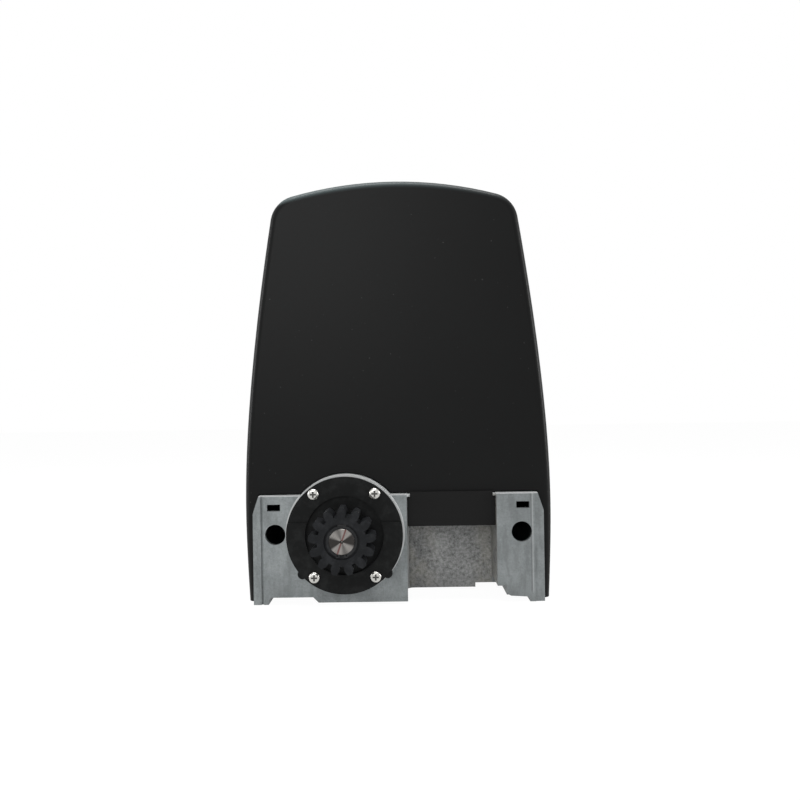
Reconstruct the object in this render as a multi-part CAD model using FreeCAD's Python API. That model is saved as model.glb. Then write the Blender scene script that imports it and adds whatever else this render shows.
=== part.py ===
import FreeCAD, Part
import math
import os

# Sliding gate motor. Millimetres. X runs along the gate, Y from the gate side (-Y) to the
# front (+Y), Z up. The origin is the centre of the foundation bolts, on the surface stood on.

V = FreeCAD.Vector

# ---------------------------------------------------------------- fits and clearances
RUN_FIT = 0.03            # shaft in a bearing or bore, radial
SEAT_FIT = 0.02           # keyed and pressed seats, radial
THREAD_FIT = 0.05         # screw shank in its tapped hole, radial
HOLE_FIT = 0.35           # screw shank in a clearance hole, radial
FACE_GAP = 0.3            # between parts that move past each other
CUTOUT_GAP = 1.0          # cover edge to the casting it surrounds
PLUNGER_FIT = 0.05        # release plunger in its guide, radial

# ---------------------------------------------------------------- main places
AXIS_X = -50.0            # output shaft
AXIS_Z = 66.0
COVER_BACK_Y = -88.0      # gate-side wall of the cover, outside
PLATE_PROUD = 12.0        # gate-side plates stand this far out of the cover wall
BOSS_PROUD = 6.0          # round boss stands this far out of the plates

# ---------------------------------------------------------------- cover
COVER_WALL = 3.0
COVER_BOTTOM_Z = 1.0
COVER_TOP_Z = 401.0
COVER_FOOT_HALF = 143.4   # half widths of the outline, from the bottom up
COVER_LOW_HALF = 145.4
COVER_LOW_Z = 45.0
COVER_WAIST_HALF = 146.3
COVER_WAIST_Z = 85.0
COVER_MID_HALF = 138.5
COVER_MID_Z = 220.0
COVER_SHOULDER_HALF = 118.0
COVER_SHOULDER_DROP = 31.0
COVER_TOP_R = 378.0       # shallow arch of the top
COVER_CORNER_R = 28.0
COVER_BACK_EDGE_R = 7.0
COVER_FRONT_EDGE_R = 20.0
COVER_FRONT_Y = 108.0     # foremost point, at the height of the front arc's apex
COVER_FRONT_R = 1800.0    # front leans back along this arc
COVER_FRONT_APEX_Z = 60.0
COVER_CROWN_R = 900.0     # front bulges across X

# ---------------------------------------------------------------- base casting
BASE_HALF = 137.0
BASE_FRONT_Y = 86.0
BASE_CORNER_R = 20.0
BASE_WALL = 5.0
SIDE_WALL_TOP_Z = 60.0
FRONT_WALL_TOP_Z = 46.0
FOOT_HEIGHT = 6.6
FOOT_WIDTH = 14.0
FLOOR_THICK = 5.4
PLATE_THICK = 6.0
PLATE_TOP_Z = 102.0
PLATE_CHAMFER_X = 5.5
PLATE_CHAMFER_Z = 16.5
PLATE_RIM = 5.0           # flange along the top edge of the plates
PLATE_RIM_DEPTH = 20.0
STRIP_WIDTH = 8.5         # outer strip of each plate, set off by a groove or a step
STRIP_GROOVE = 2.0
STRIP_STEP = 1.2
PORT_X = 116.0            # round ports and slots in the plates
PORT_Z = 65.7
PORT_R = 9.6
SLOT_X = 117.3
SLOT_Z = 91.0
SLOT_LENGTH = 12.4
SLOT_HEIGHT = 6.2
BOSS_R = 55.6
BOSS_DEPTH = 26.0
GUSSET_REACH = 42.0       # web from the plate up to the boss, left of the shaft axis
GUSSET_TOP_X = 26.0
GUSSET_TOP_Z = 49.0
SNOUT_R = 33.0
RECESS_LEFT_X = 8.2
RECESS_RIGHT_X = 92.6
RECESS_DEPTH = 60.0
RECESS_FILLET = 7.0
RECESS_WALL = 6.0
RECESS_BACK_BOTTOM_Z = 2.3
RECESS_SIDE_BOTTOM_Z = 15.0
RECESS_LOW_STEP = 8.5     # right wall steps out by this below its lower edge
RECESS_LOW_WALL = 3.0
RECESS_NOTCH = 16.5       # back wall is higher this far from the right wall
CHAMBER_WALL = 8.0
CHAMBER_DEPTH = 54.0
CHAMBER_GAP = 6.0         # wheel and worm tips to the chamber walls
MOTOR_PAD_THICK = 6.0
BOLT_X = 113.0            # foundation bolt slots
BOLT_Y = 62.0
BOLT_SLOT_LENGTH = 18.0
BOLT_SLOT_R = 4.5
JACK_X = 118.0            # levelling screws
JACK_Y = 46.0
JACK_R = 4.0
JACK_BOSS_R = 7.5
JACK_BOSS_TOP_Z = 24.0
JACK_LENGTH = 30.0
JACK_TIP_Z = 1.0
CABLE_X = 82.0
CABLE_Y = 24.0
GROMMET_R = 16.0
GROMMET_BORE_R = 9.0
GROMMET_LIP = 3.0

# ---------------------------------------------------------------- gear train
PINION_TEETH = 13
PINION_MODULE = 4.0
PINION_SHIFT = 0.5         # profile shift, in modules; the tip circle is cut back to 2 modules
PINION_WIDTH = 28.0
PINION_GAP = 12.0         # pinion to the flange behind it
PINION_RECESS_R = 16.0
PINION_RECESS_DEPTH = 3.0
WHEEL_TEETH = 30
WORM_MODULE = 3.0
WORM_PITCH_R = 15.0
WORM_LENGTH = 50.0
WHEEL_WIDTH = 18.0
WHEEL_WEB = 9.0
WHEEL_HUB_R = 24.0
WHEEL_HUB_WIDTH = 32.0
TOOTH_BACKLASH = 0.9      # taken off each tooth's thickness in the worm mesh
SHAFT_NOSE_R = 11.5
SHAFT_R = 12.5
SHAFT_SEAT_R = 14.0
SHAFT_COLLAR_R = 17.0
SHAFT_COLLAR_WIDTH = 4.0
SHAFT_FRONT_R = 10.0
SHAFT_END_CHAMFER = 0.4
CENTRE_HOLE_R = 1.6
KEY_WIDTH = 8.0
KEY_HEIGHT = 7.0
KEY_LENGTH = 20.0
CIRCLIP_THICK = 1.2
CIRCLIP_DEPTH = 1.0       # groove depth in the shaft
CIRCLIP_RING = 3.0

# ---------------------------------------------------------------- bearings: bore, outside, width
REAR_BEARING_OUT_R = 26.0
REAR_BEARING_WIDTH = 15.0
FRONT_BEARING_OUT_R = 23.5
FRONT_BEARING_WIDTH = 14.0
WORM_LOW_R = 6.0
WORM_LOW_OUT_R = 16.0
WORM_LOW_WIDTH = 10.0
WORM_UP_R = 7.5
WORM_UP_OUT_R = 17.5
WORM_UP_WIDTH = 11.0
BEARING_RING = 0.28       # ring thickness as a share of the bearing's section
SHIELD_SET_BACK = 0.8

# ---------------------------------------------------------------- output flange and seal
FLANGE_R = 54.2
FLANGE_THICK = 6.0
FLANGE_STEP = 2.0         # lower part is thicker
FLANGE_STEP_Z = 12.0      # above the shaft axis
FLANGE_RECESS_R = 36.5
FLANGE_RECESS_DEPTH = 3.5
FLANGE_EAR_R = 4.5
SEAL_R = 20.0
SEAL_HOUSING_R = 24.0
SEAL_WIDTH = 5.5
FLANGE_SCREW_X = 28.5
FLANGE_SCREW_Z = 38.6
PAN_HEAD_R = 5.4
PAN_HEAD_HEIGHT = 3.4
PAN_SHANK_R = 2.5
PAN_SHANK_LENGTH = 16.0
PAN_POCKET_GAP = 0.4      # screw head to its pocket in the flange

# ---------------------------------------------------------------- gearbox cover
GEARBOX_COVER_THICK = 8.0
GEARBOX_GASKET = 0.8
GEARBOX_BOSS_R = 29.0
GUIDE_LENGTH = 5.0
GEARBOX_SCREW_R = 2.5
GEARBOX_SCREW_HEAD_R = 4.25
GEARBOX_SCREW_HEAD = 5.0
GEARBOX_SCREW_LENGTH = 22.0
OIL_PLUG_R = 6.0
OIL_PLUG_HEX_R = 9.0
OIL_PLUG_HEAD = 6.0

# ---------------------------------------------------------------- motor
STATOR_HALF = 53.0
STATOR_CORNER_R = 18.0
STATOR_STACK = 55.0
STATOR_BORE_R = 28.0
AIR_GAP = 0.5
WINDING_R = 44.0
WINDING_HEIGHT = 15.0
WINDING_GAP = 3.0         # from the end turns to the rotor's end rings
MOTOR_FLANGE_THICK = 10.0
SHIELD_SKIRT = 22.0
SHIELD_WALL = 4.0
END_BELL_TOP = 9.0
TIE_BOLT_OFFSET = 43.0
TIE_BOLT_R = 2.5
TIE_BOLT_HEAD_R = 4.3
TIE_BOLT_HEAD = 4.0
TIE_BOLT_ENGAGE = 5.0
ROTOR_SHAFT_R = 8.5
ROTOR_RING = 7.0          # end ring height

# ---------------------------------------------------------------- capacitor
CAPACITOR_X = -80.0
CAPACITOR_R = 20.0
CAPACITOR_HEIGHT = 88.0
CAPACITOR_CUP_WALL = 2.5
CAPACITOR_CUP_HEIGHT = 22.0
CAPACITOR_TERMINAL = 9.0

# ---------------------------------------------------------------- electronics
CARRIER_LEG = 7.0
CARRIER_LEG_R = 6.0
CARRIER_LEG_OFFSET = 30.0
CARRIER_THICK = 3.0
SHELF_HALF = 72.0
SHELF_DEPTH = 96.0
BOARD_MARGIN = 28.0       # carrier edge to the cover's shoulder
CARRIER_TOP_DROP = 39.0   # carrier's top below the cover's top
BOARD_INSET = 6.0         # board edge inside the carrier's edge
BOARD_THICK = 1.6
STANDOFF = 6.0
STANDOFF_R = 4.0
BOARD_SCREW_R = 1.5
BOARD_SCREW_HEAD_R = 3.0
TRANSFORMER_WIDTH = 76.0
TRANSFORMER_HEIGHT = 64.0
TRANSFORMER_STACK = 34.0
TRANSFORMER_LIMB = 13.0
COIL_BULGE = 12.0
COIL_GAP = 0.4

# ---------------------------------------------------------------- limit sensor panel
PANEL_Z = 71.0
PANEL_THICK = 3.0
PANEL_SET_BACK = 8.0      # behind the plates' faces
PANEL_GAP = 0.5
LEDGE = 6.0
LEDGE_THICK = 5.0
LIP = 3.0
LIP_HEIGHT = 2.4
SENSOR_BOARD_WIDTH = 52.0
SENSOR_BOARD_HEIGHT = 18.0
SENSOR_POST = 4.0
SENSOR_PITCH = 26.0
PANEL_SCREW_R = 1.5
PANEL_SCREW_HEAD_R = 2.8

# ---------------------------------------------------------------- manual release
HOUSING_HALF = 66.0
HOUSING_BOTTOM_Z = 6.0
HOUSING_TOP_Z = 86.0
HOUSING_FACE_Y = 105.0
HOUSING_WALL = 3.0
POCKET_HALF_HEIGHT = 13.0
LEVER_HALF_HEIGHT = 10.5
LEVER_REACH = 88.0        # from the pivot to the lock
LEVER_THICK = 8.0
LEVER_END_R = 10.5
PIVOT_Y = 96.0
PIVOT_PIN_R = 3.0
CAM_R = 8.0
CAM_THROW = 3.0
PLUNGER_R = 4.0
PLUNGER_COLLAR_R = 7.0
PLUNGER_COLLAR = 3.0
PLUNGER_ENTRY = 12.0      # how far it reaches into the shaft
PLUNGER_STROKE_ROOM = 6.0
LOCK_R = 7.0
LOCK_LENGTH = 15.0
LOCK_PROUD = 0.8
KEYWAY_WIDTH = 1.4
KEYWAY_HEIGHT = 7.0

# ---------------------------------------------------------------- cover screws
COVER_SCREW_X = 98.0
COVER_SCREW_Z = 28.0
COVER_SCREW_R = 2.5
COVER_SCREW_HEAD_R = 5.0
COVER_SCREW_HEAD = 3.2
COVER_NUT_R = 5.5
COVER_NUT_THICK = 4.0

# ---------------------------------------------------------------- small fasteners
HOUSING_SCREW_Z = 30.0
HOUSING_SCREW_R = 2.0
HOUSING_SCREW_HEAD_R = 4.0
EARTH_SCREW_R = 2.0
OIL_PLUG_Z = 98.0
PIN_FIT = 0.06            # lever on its pin, radial

# ---------------------------------------------------------------- worked out from the above
PLATE_FACE_Y = COVER_BACK_Y - PLATE_PROUD
BOSS_FACE_Y = PLATE_FACE_Y - BOSS_PROUD
FLANGE_FACE_Y = BOSS_FACE_Y - FLANGE_THICK
PINION_BACK_Y = FLANGE_FACE_Y - PINION_GAP
PINION_FRONT_Y = PINION_BACK_Y - PINION_WIDTH
FLOOR_TOP_Z = FOOT_HEIGHT + FLOOR_THICK
RECESS_BACK_Y = PLATE_FACE_Y + RECESS_DEPTH
CHAMBER_BACK_Y = RECESS_BACK_Y + CHAMBER_WALL
CHAMBER_FRONT_Y = CHAMBER_BACK_Y + CHAMBER_DEPTH
WORM_Y = CHAMBER_BACK_Y + CHAMBER_DEPTH / 2
WHEEL_PITCH_R = WORM_MODULE * WHEEL_TEETH / 2
WHEEL_TIP_R = WHEEL_PITCH_R + WORM_MODULE
WORM_TIP_R = WORM_PITCH_R + WORM_MODULE
WORM_ROOT_R = WORM_PITCH_R - 1.25 * WORM_MODULE
WORM_X = AXIS_X + WHEEL_PITCH_R + WORM_PITCH_R
WORM_LEAD = math.pi * WORM_MODULE
CHAMBER_LEFT_X = AXIS_X - WHEEL_TIP_R - CHAMBER_GAP
CHAMBER_RIGHT_X = WORM_X + WORM_TIP_R + CHAMBER_GAP
CHAMBER_TOP_Z = AXIS_Z + WHEEL_TIP_R + CHAMBER_GAP
CHAMBER_ROOF_Z = CHAMBER_TOP_Z + CHAMBER_WALL
PAD_TOP_Z = CHAMBER_ROOF_Z + MOTOR_PAD_THICK
GEARBOX_PLATE_Y = CHAMBER_FRONT_Y + GEARBOX_GASKET
GEARBOX_FACE_Y = GEARBOX_PLATE_Y + GEARBOX_COVER_THICK
FRONT_BEARING_Y = GEARBOX_PLATE_Y + 2.0
FRONT_BEARING_END_Y = FRONT_BEARING_Y + FRONT_BEARING_WIDTH
SHAFT_END_Y = FRONT_BEARING_END_Y - FACE_GAP
GUIDE_END_Y = FRONT_BEARING_END_Y + GUIDE_LENGTH
STACK_BOTTOM_Z = PAD_TOP_Z + MOTOR_FLANGE_THICK + SHIELD_SKIRT
STACK_TOP_Z = STACK_BOTTOM_Z + STATOR_STACK
BELL_TOP_Z = STACK_TOP_Z + SHIELD_SKIRT + END_BELL_TOP
WORM_LOW_TOP_Z = FLOOR_TOP_Z + WORM_LOW_WIDTH
WORM_UP_Z = CHAMBER_ROOF_Z
SHELF_Z = BELL_TOP_Z + CARRIER_LEG
CARRIER_TOP_Z = COVER_TOP_Z - CARRIER_TOP_DROP
CARRIER_HALF = COVER_SHOULDER_HALF - BOARD_MARGIN
CARRIER_Y = WORM_Y + SHELF_DEPTH / 2 - 8.0
BOARD_Y = CARRIER_Y + CARRIER_THICK + STANDOFF
BOARD_FRONT_Y = BOARD_Y + BOARD_THICK
BOARD_HALF = CARRIER_HALF - BOARD_INSET
BOARD_BOTTOM_Z = SHELF_Z + CARRIER_THICK + BOARD_INSET
BOARD_TOP_Z = CARRIER_TOP_Z - BOARD_INSET
PANEL_FACE_Y = PLATE_FACE_Y + PANEL_SET_BACK
LOCK_X = AXIS_X + LEVER_REACH
LEVER_BACK_Y = PIVOT_Y + 2.0
LEVER_FACE_Y = LEVER_BACK_Y + LEVER_THICK
PLUNGER_TIP_Y = PIVOT_Y - (CAM_R - CAM_THROW) - FACE_GAP
PLUNGER_BACK_Y = SHAFT_END_Y - PLUNGER_ENTRY


# ---------------------------------------------------------------- plain shapes
def box(x0, x1, y0, y1, z0, z1):
    return Part.makeBox(x1 - x0, y1 - y0, z1 - z0, V(x0, y0, z0))


def rod_x(y, z, r, x0, x1):
    return Part.makeCylinder(r, x1 - x0, V(x0, y, z), V(1, 0, 0))


def rod_y(x, z, r, y0, y1):
    return Part.makeCylinder(r, y1 - y0, V(x, y0, z), V(0, 1, 0))


def rod_z(x, y, r, z0, z1):
    return Part.makeCylinder(r, z1 - z0, V(x, y, z0), V(0, 0, 1))


def ring_y(x, z, inner, outer, y0, y1):
    return rod_y(x, z, outer, y0, y1).cut(rod_y(x, z, inner, y0 - 1, y1 + 1))


def ring_z(x, y, inner, outer, z0, z1):
    return rod_z(x, y, outer, z0, z1).cut(rod_z(x, y, inner, z0 - 1, z1 + 1))


def prism(points, direction):
    """Closed polygon through the points, extruded along the direction."""
    wire = Part.makePolygon(points + [points[0]])
    return Part.Face(wire).extrude(direction)


def fuse_all(shapes):
    solid = shapes[0].fuse(shapes[1:]) if len(shapes) > 1 else shapes[0]
    return solid.removeSplitter()


def cut_all(shape, tools):
    for tool in tools:
        shape = shape.cut(tool)
    return shape


def hexagon_y(x, z, r, y0, y1):
    corners = [V(x + r * math.cos(math.radians(60 * k)), y0, z + r * math.sin(math.radians(60 * k)))
               for k in range(6)]
    return prism(corners, V(0, y1 - y0, 0))


def rounded_block(half_x, half_y, corner, z0, z1, x=0.0, y=0.0):
    block = box(x - half_x, x + half_x, y - half_y, y + half_y, z0, z1)
    upright = [e for e in block.Edges if abs(e.Vertexes[0].Z - e.Vertexes[1].Z) > 1e-6]
    return block.makeFillet(corner, upright)


def bearing(make_ring, a, b, bore, outside, low, high):
    """Sealed ball bearing: two rings and the shields between them, all flush but the shields."""
    ring = (outside - bore) * BEARING_RING
    inner = make_ring(a, b, bore, bore + ring, low, high)
    outer = make_ring(a, b, outside - ring, outside, low, high)
    shields = make_ring(a, b, bore + ring, outside - ring, low + SHIELD_SET_BACK,
                        high - SHIELD_SET_BACK)
    return Part.makeCompound([inner, outer, shields])


def pan_screw(x, z, seat_y, head_r, head_height, shank_r, shank_length, side=-1):
    """Cross-recess pan head on a face at seat_y; side is the way the head points along Y."""
    head = Part.makeCylinder(head_r, head_height, V(x, seat_y, z), V(0, side, 0))
    rim = [e for e in head.Edges if isinstance(e.Curve, Part.Circle)
           and abs(e.Vertexes[0].Y - (seat_y + side * head_height)) < 1e-6]
    head = head.makeFillet(head_height * 0.75, rim)
    arm = head_r * 0.5
    slot = head_r * 0.11
    depth = seat_y + side * head_height * 0.45
    outside = seat_y + side * (head_height + 1)
    low, high = min(depth, outside), max(depth, outside)
    cross = box(x - arm, x + arm, low, high, z - slot, z + slot)
    cross = cross.fuse(box(x - slot, x + slot, low, high, z - arm, z + arm))
    shank = Part.makeCylinder(shank_r, shank_length, V(x, seat_y, z), V(0, -side, 0))
    return head.cut(cross).fuse(shank).removeSplitter()


# ---------------------------------------------------------------- cover
def outline_prism(inset, bottom):
    """The cover's outline seen from the gate side, extruded along Y."""
    shoulder_z = COVER_TOP_Z - COVER_SHOULDER_DROP
    slope = (COVER_MID_HALF - COVER_SHOULDER_HALF) / (shoulder_z - COVER_MID_Z)
    above = COVER_TOP_Z + 10.0
    above_half = COVER_SHOULDER_HALF - (above - shoulder_z) * slope * 1.25
    heights = [COVER_BOTTOM_Z, COVER_LOW_Z, COVER_WAIST_Z, COVER_MID_Z, shoulder_z, above]
    halves = [COVER_FOOT_HALF, COVER_LOW_HALF, COVER_WAIST_HALF, COVER_MID_HALF,
              COVER_SHOULDER_HALF, above_half]
    edges = []
    for sign in (-1, 1):
        curve = Part.BSplineCurve()
        curve.interpolate([V(sign * (half - inset), 0, z) for half, z in zip(halves, heights)])
        edges.append(curve.toShape())
        if bottom < COVER_BOTTOM_Z:
            foot = sign * (COVER_FOOT_HALF - inset)
            edges.append(Part.makeLine(V(foot, 0, bottom), V(foot, 0, COVER_BOTTOM_Z)))
    foot, top = COVER_FOOT_HALF - inset, above_half - inset
    edges.append(Part.makeLine(V(-foot, 0, bottom), V(foot, 0, bottom)))
    edges.append(Part.makeLine(V(-top, 0, above), V(top, 0, above)))
    wire = Part.Wire(Part.__sortEdges__(edges))
    face = Part.Face(wire)
    face.translate(V(0, COVER_BACK_Y + inset, 0))
    return face.extrude(V(0, COVER_FRONT_Y - COVER_BACK_Y + 60, 0))


def front_barrel(inset):
    """Everything behind the front surface, which leans back and is crowned across X."""
    front = COVER_FRONT_Y - inset
    reach = COVER_WAIST_HALF + 30.0
    crown = COVER_CROWN_R - inset
    drop = crown - math.sqrt(crown ** 2 - reach ** 2)
    rear = COVER_BACK_Y * 4
    arc = Part.Arc(V(-reach, front - drop, COVER_FRONT_APEX_Z), V(0, front, COVER_FRONT_APEX_Z),
                   V(reach, front - drop, COVER_FRONT_APEX_Z)).toShape()
    wire = Part.Wire([arc] + Part.makePolygon([V(reach, front - drop, COVER_FRONT_APEX_Z),
                                               V(reach, rear, COVER_FRONT_APEX_Z),
                                               V(-reach, rear, COVER_FRONT_APEX_Z),
                                               V(-reach, front - drop, COVER_FRONT_APEX_Z)]).Edges)
    face = Part.Face(wire)
    axis = V(0, front - (COVER_FRONT_R - inset), COVER_FRONT_APEX_Z)
    start = 5.0
    sweep = start + math.degrees(math.asin((COVER_TOP_Z + 80) / COVER_FRONT_R))
    face.rotate(axis, V(1, 0, 0), -start)
    return face.revolve(axis, V(1, 0, 0), sweep)


def cover_body(inset, bottom):
    body = outline_prism(inset, bottom)
    top_r = COVER_TOP_R - inset
    roof = rod_y(0, COVER_TOP_Z - COVER_TOP_R, top_r, COVER_BACK_Y - 10, COVER_FRONT_Y + 60)
    body = body.common(roof.fuse(box(-200, 200, COVER_BACK_Y - 10, COVER_FRONT_Y + 60, bottom - 10,
                                     COVER_TOP_Z - COVER_TOP_R + 150)))
    body = body.common(front_barrel(inset)).removeSplitter()
    corners = [e for e in body.Edges if is_top_corner(e)]
    body = body.makeFillet(COVER_CORNER_R - inset, corners)
    back_y = COVER_BACK_Y + inset
    back = [e for e in body.Edges if all(abs(v.Y - back_y) < 1e-4 for v in e.Vertexes)
            and e.BoundBox.ZMax > bottom + 1]
    body = body.makeFillet(COVER_BACK_EDGE_R - inset, back)
    front = [e for e in body.Edges if e.BoundBox.YMin > 20 and e.BoundBox.ZMax > bottom + 1
             and edge_is_sharp(body, e)]
    return body.makeFillet(COVER_FRONT_EDGE_R - inset, front)


def is_top_corner(edge):
    box_ = edge.BoundBox
    return box_.ZMin > COVER_TOP_Z - 60 and box_.YLength > 50 and abs(box_.Center.x) > 60


def edge_is_sharp(shape, edge):
    """True where the two faces beside the edge meet at more than 15 degrees."""
    faces = shape.ancestorsOfType(edge, Part.Face)
    if len(faces) < 2:
        return False
    point = edge.valueAt((edge.FirstParameter + edge.LastParameter) / 2)
    normals = []
    for face in faces[:2]:
        u, v = face.Surface.parameter(point)
        normals.append(face.normalAt(u, v))
    return math.degrees(normals[0].getAngle(normals[1])) > 15


def plate_clear_outline(gap, y0, y1):
    """Solid over the plates and the boss, wider than them by the gap."""
    half = BASE_HALF + gap
    top = PLATE_TOP_Z + gap
    boss = rod_y(AXIS_X, AXIS_Z, BOSS_R + gap, y0, y1)
    points = [V(-half, y0, -10), V(half, y0, -10), V(half, y0, PLATE_TOP_Z - PLATE_CHAMFER_Z + gap),
              V(half - PLATE_CHAMFER_X, y0, top), V(-half + PLATE_CHAMFER_X, y0, top),
              V(-half, y0, PLATE_TOP_Z - PLATE_CHAMFER_Z + gap)]
    return prism(points, V(0, y1 - y0, 0)).fuse([boss, gusset(gap, y0, y1)])


def gusset(gap, y0, y1):
    """Web that runs from the left plate's top edge up to the boss, touching its rim."""
    slope = (GUSSET_REACH - GUSSET_TOP_X) / (AXIS_Z + GUSSET_TOP_Z - PLATE_TOP_Z)
    foot = AXIS_X - GUSSET_REACH - gap * math.hypot(1.0, slope)
    top_x = AXIS_X - GUSSET_TOP_X - gap * 0.5
    top_z = AXIS_Z + GUSSET_TOP_Z + gap * 0.9
    points = [V(foot, y0, PLATE_TOP_Z), V(top_x, y0, top_z), V(AXIS_X, y0, AXIS_Z),
              V(foot, y0, PLATE_TOP_Z - PLATE_RIM)]
    return prism(points, V(0, y1 - y0, 0))


def make_cover():
    cover = cover_body(0.0, COVER_BOTTOM_Z).cut(cover_body(COVER_WALL, COVER_BOTTOM_Z - 20))
    half = HOUSING_HALF + CUTOUT_GAP
    cutouts = [plate_clear_outline(CUTOUT_GAP, COVER_BACK_Y - 5, COVER_BACK_Y + COVER_BACK_EDGE_R + 1),
               box(-half, half, BASE_FRONT_Y, COVER_FRONT_Y + 5, -10, HOUSING_TOP_Z + CUTOUT_GAP)]
    pads = []
    for x in (-COVER_SCREW_X, COVER_SCREW_X):
        seat = cover_seat_y()
        pads.append(rod_y(x, COVER_SCREW_Z, COVER_SCREW_HEAD_R + 3, BASE_FRONT_Y + FACE_GAP,
                          seat + COVER_SCREW_HEAD + COVER_WALL / 2))
        cutouts.append(rod_y(x, COVER_SCREW_Z, COVER_SCREW_R + SEAT_FIT, 0, COVER_FRONT_Y + 5))
        cutouts.append(rod_y(x, COVER_SCREW_Z, COVER_SCREW_HEAD_R + 0.5, seat, COVER_FRONT_Y + 5))
    return cut_all(fuse_all([cover] + pads), cutouts)


def cover_seat_y():
    """Bottom of the counterbore under a cover screw's head."""
    drop = COVER_CROWN_R - math.sqrt(COVER_CROWN_R ** 2 - COVER_SCREW_X ** 2)
    return COVER_FRONT_Y - drop - COVER_WALL - COVER_SCREW_HEAD


def make_cover_screws():
    screws = [pan_screw(x, COVER_SCREW_Z, cover_seat_y(), COVER_SCREW_HEAD_R, COVER_SCREW_HEAD,
                        COVER_SCREW_R, cover_seat_y() - BASE_FRONT_Y + BASE_WALL + COVER_NUT_THICK + 3,
                        side=1) for x in (-COVER_SCREW_X, COVER_SCREW_X)]
    return Part.makeCompound(screws)


def make_cover_nuts():
    """Hexagon nuts that clamp the base's slotted front wall between them and the cover."""
    inner_y = BASE_FRONT_Y - BASE_WALL - FACE_GAP
    nuts = [hexagon_y(x, COVER_SCREW_Z, COVER_NUT_R, inner_y - COVER_NUT_THICK, inner_y)
            .cut(rod_y(x, COVER_SCREW_Z, COVER_SCREW_R + THREAD_FIT, inner_y - 20, inner_y + 1))
            for x in (-COVER_SCREW_X, COVER_SCREW_X)]
    return Part.makeCompound(nuts)


# ---------------------------------------------------------------- base casting
def plate(side):
    """One gate-side plate with its chamfered corner, foot, rim and outer strip."""
    inner = RECESS_RIGHT_X if side > 0 else RECESS_LEFT_X
    outer = side * BASE_HALF
    chamfer_x = outer - side * PLATE_CHAMFER_X
    foot_x = outer - side * FOOT_WIDTH
    top = [(inner, PLATE_TOP_Z), (chamfer_x, PLATE_TOP_Z), (outer, PLATE_TOP_Z - PLATE_CHAMFER_Z)]
    if side > 0:
        low_x = inner + RECESS_LOW_STEP
        bottom = [(outer, 0), (foot_x + 1.5, 0), (foot_x - 1.5, 4.5), (low_x + 4, 5.5), (low_x, 7.5),
                  (low_x, RECESS_SIDE_BOTTOM_Z), (inner, RECESS_SIDE_BOTTOM_Z + RECESS_LOW_WALL)]
    else:
        bottom = [(outer, 0), (foot_x - 1, 0), (foot_x + 1.5, FOOT_HEIGHT), (AXIS_X - 31, FOOT_HEIGHT),
                  (AXIS_X - 26, 1.5), (inner, 1.5)]
    points = [V(x, PLATE_FACE_Y, z) for x, z in top + bottom]
    face_plate = prism(points, V(0, PLATE_THICK, 0))
    low, high = sorted((inner, chamfer_x))
    rim = box(low, high, PLATE_FACE_Y, PLATE_FACE_Y + PLATE_RIM_DEPTH, PLATE_TOP_Z - PLATE_RIM,
              PLATE_TOP_Z)
    low, high = sorted((inner, inner - side * LIP))
    lip = box(low, high, PLATE_FACE_Y + PLATE_THICK / 2, PLATE_FACE_Y + PLATE_THICK + 1,
              PLATE_TOP_Z - LIP_HEIGHT, PLATE_TOP_Z)
    return face_plate.fuse([rim, lip])


def plate_openings(side):
    depth = PLATE_FACE_Y + PLATE_THICK + 1
    slot_half = SLOT_LENGTH / 2
    strip_x = side * (BASE_HALF - STRIP_WIDTH)
    port = rod_y(side * PORT_X, PORT_Z, PORT_R, PLATE_FACE_Y - 1, depth)
    slot = box(side * SLOT_X - slot_half, side * SLOT_X + slot_half, PLATE_FACE_Y - 1, depth,
               SLOT_Z - SLOT_HEIGHT / 2, SLOT_Z + SLOT_HEIGHT / 2)
    if side < 0:
        strip = box(strip_x - STRIP_GROOVE / 2, strip_x + STRIP_GROOVE / 2, PLATE_FACE_Y - 1,
                    PLATE_FACE_Y + STRIP_GROOVE, -1, PLATE_TOP_Z + 1)
    else:
        strip = box(strip_x, BASE_HALF + 1, PLATE_FACE_Y - 1, PLATE_FACE_Y + STRIP_STEP, -1,
                    PLATE_TOP_Z + 1)
    return [port, slot, strip]


def tub():
    """Floor, side walls and front wall of the base, with rounded front corners."""
    middle_y = (PLATE_FACE_Y + BASE_FRONT_Y) / 2
    half_y = (BASE_FRONT_Y - PLATE_FACE_Y) / 2
    outer = box(-BASE_HALF, BASE_HALF, PLATE_FACE_Y, BASE_FRONT_Y, 0, SIDE_WALL_TOP_Z)
    corners = [e for e in outer.Edges if e.BoundBox.ZLength > 1 and e.BoundBox.YMin > middle_y]
    outer = outer.makeFillet(BASE_CORNER_R, corners)
    inner_half, inner_half_y = BASE_HALF - BASE_WALL, half_y - BASE_WALL
    inner = rounded_block(inner_half, inner_half_y, BASE_CORNER_R - BASE_WALL, FLOOR_TOP_Z,
                          SIDE_WALL_TOP_Z + 1, 0, middle_y)
    rear = box(-inner_half, inner_half, PLATE_FACE_Y - 1, middle_y, FLOOR_TOP_Z, SIDE_WALL_TOP_Z + 1)
    under = box(-BASE_HALF + FOOT_WIDTH, BASE_HALF - FOOT_WIDTH, PLATE_FACE_Y - 1, BASE_FRONT_Y + 1,
                -1, FOOT_HEIGHT)
    low_front = box(-BASE_HALF - 1, BASE_HALF + 1, BASE_FRONT_Y - BASE_CORNER_R, BASE_FRONT_Y + 1,
                    FRONT_WALL_TOP_Z, SIDE_WALL_TOP_Z + 1)
    return cut_all(outer, [inner, rear, under, low_front])


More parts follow.
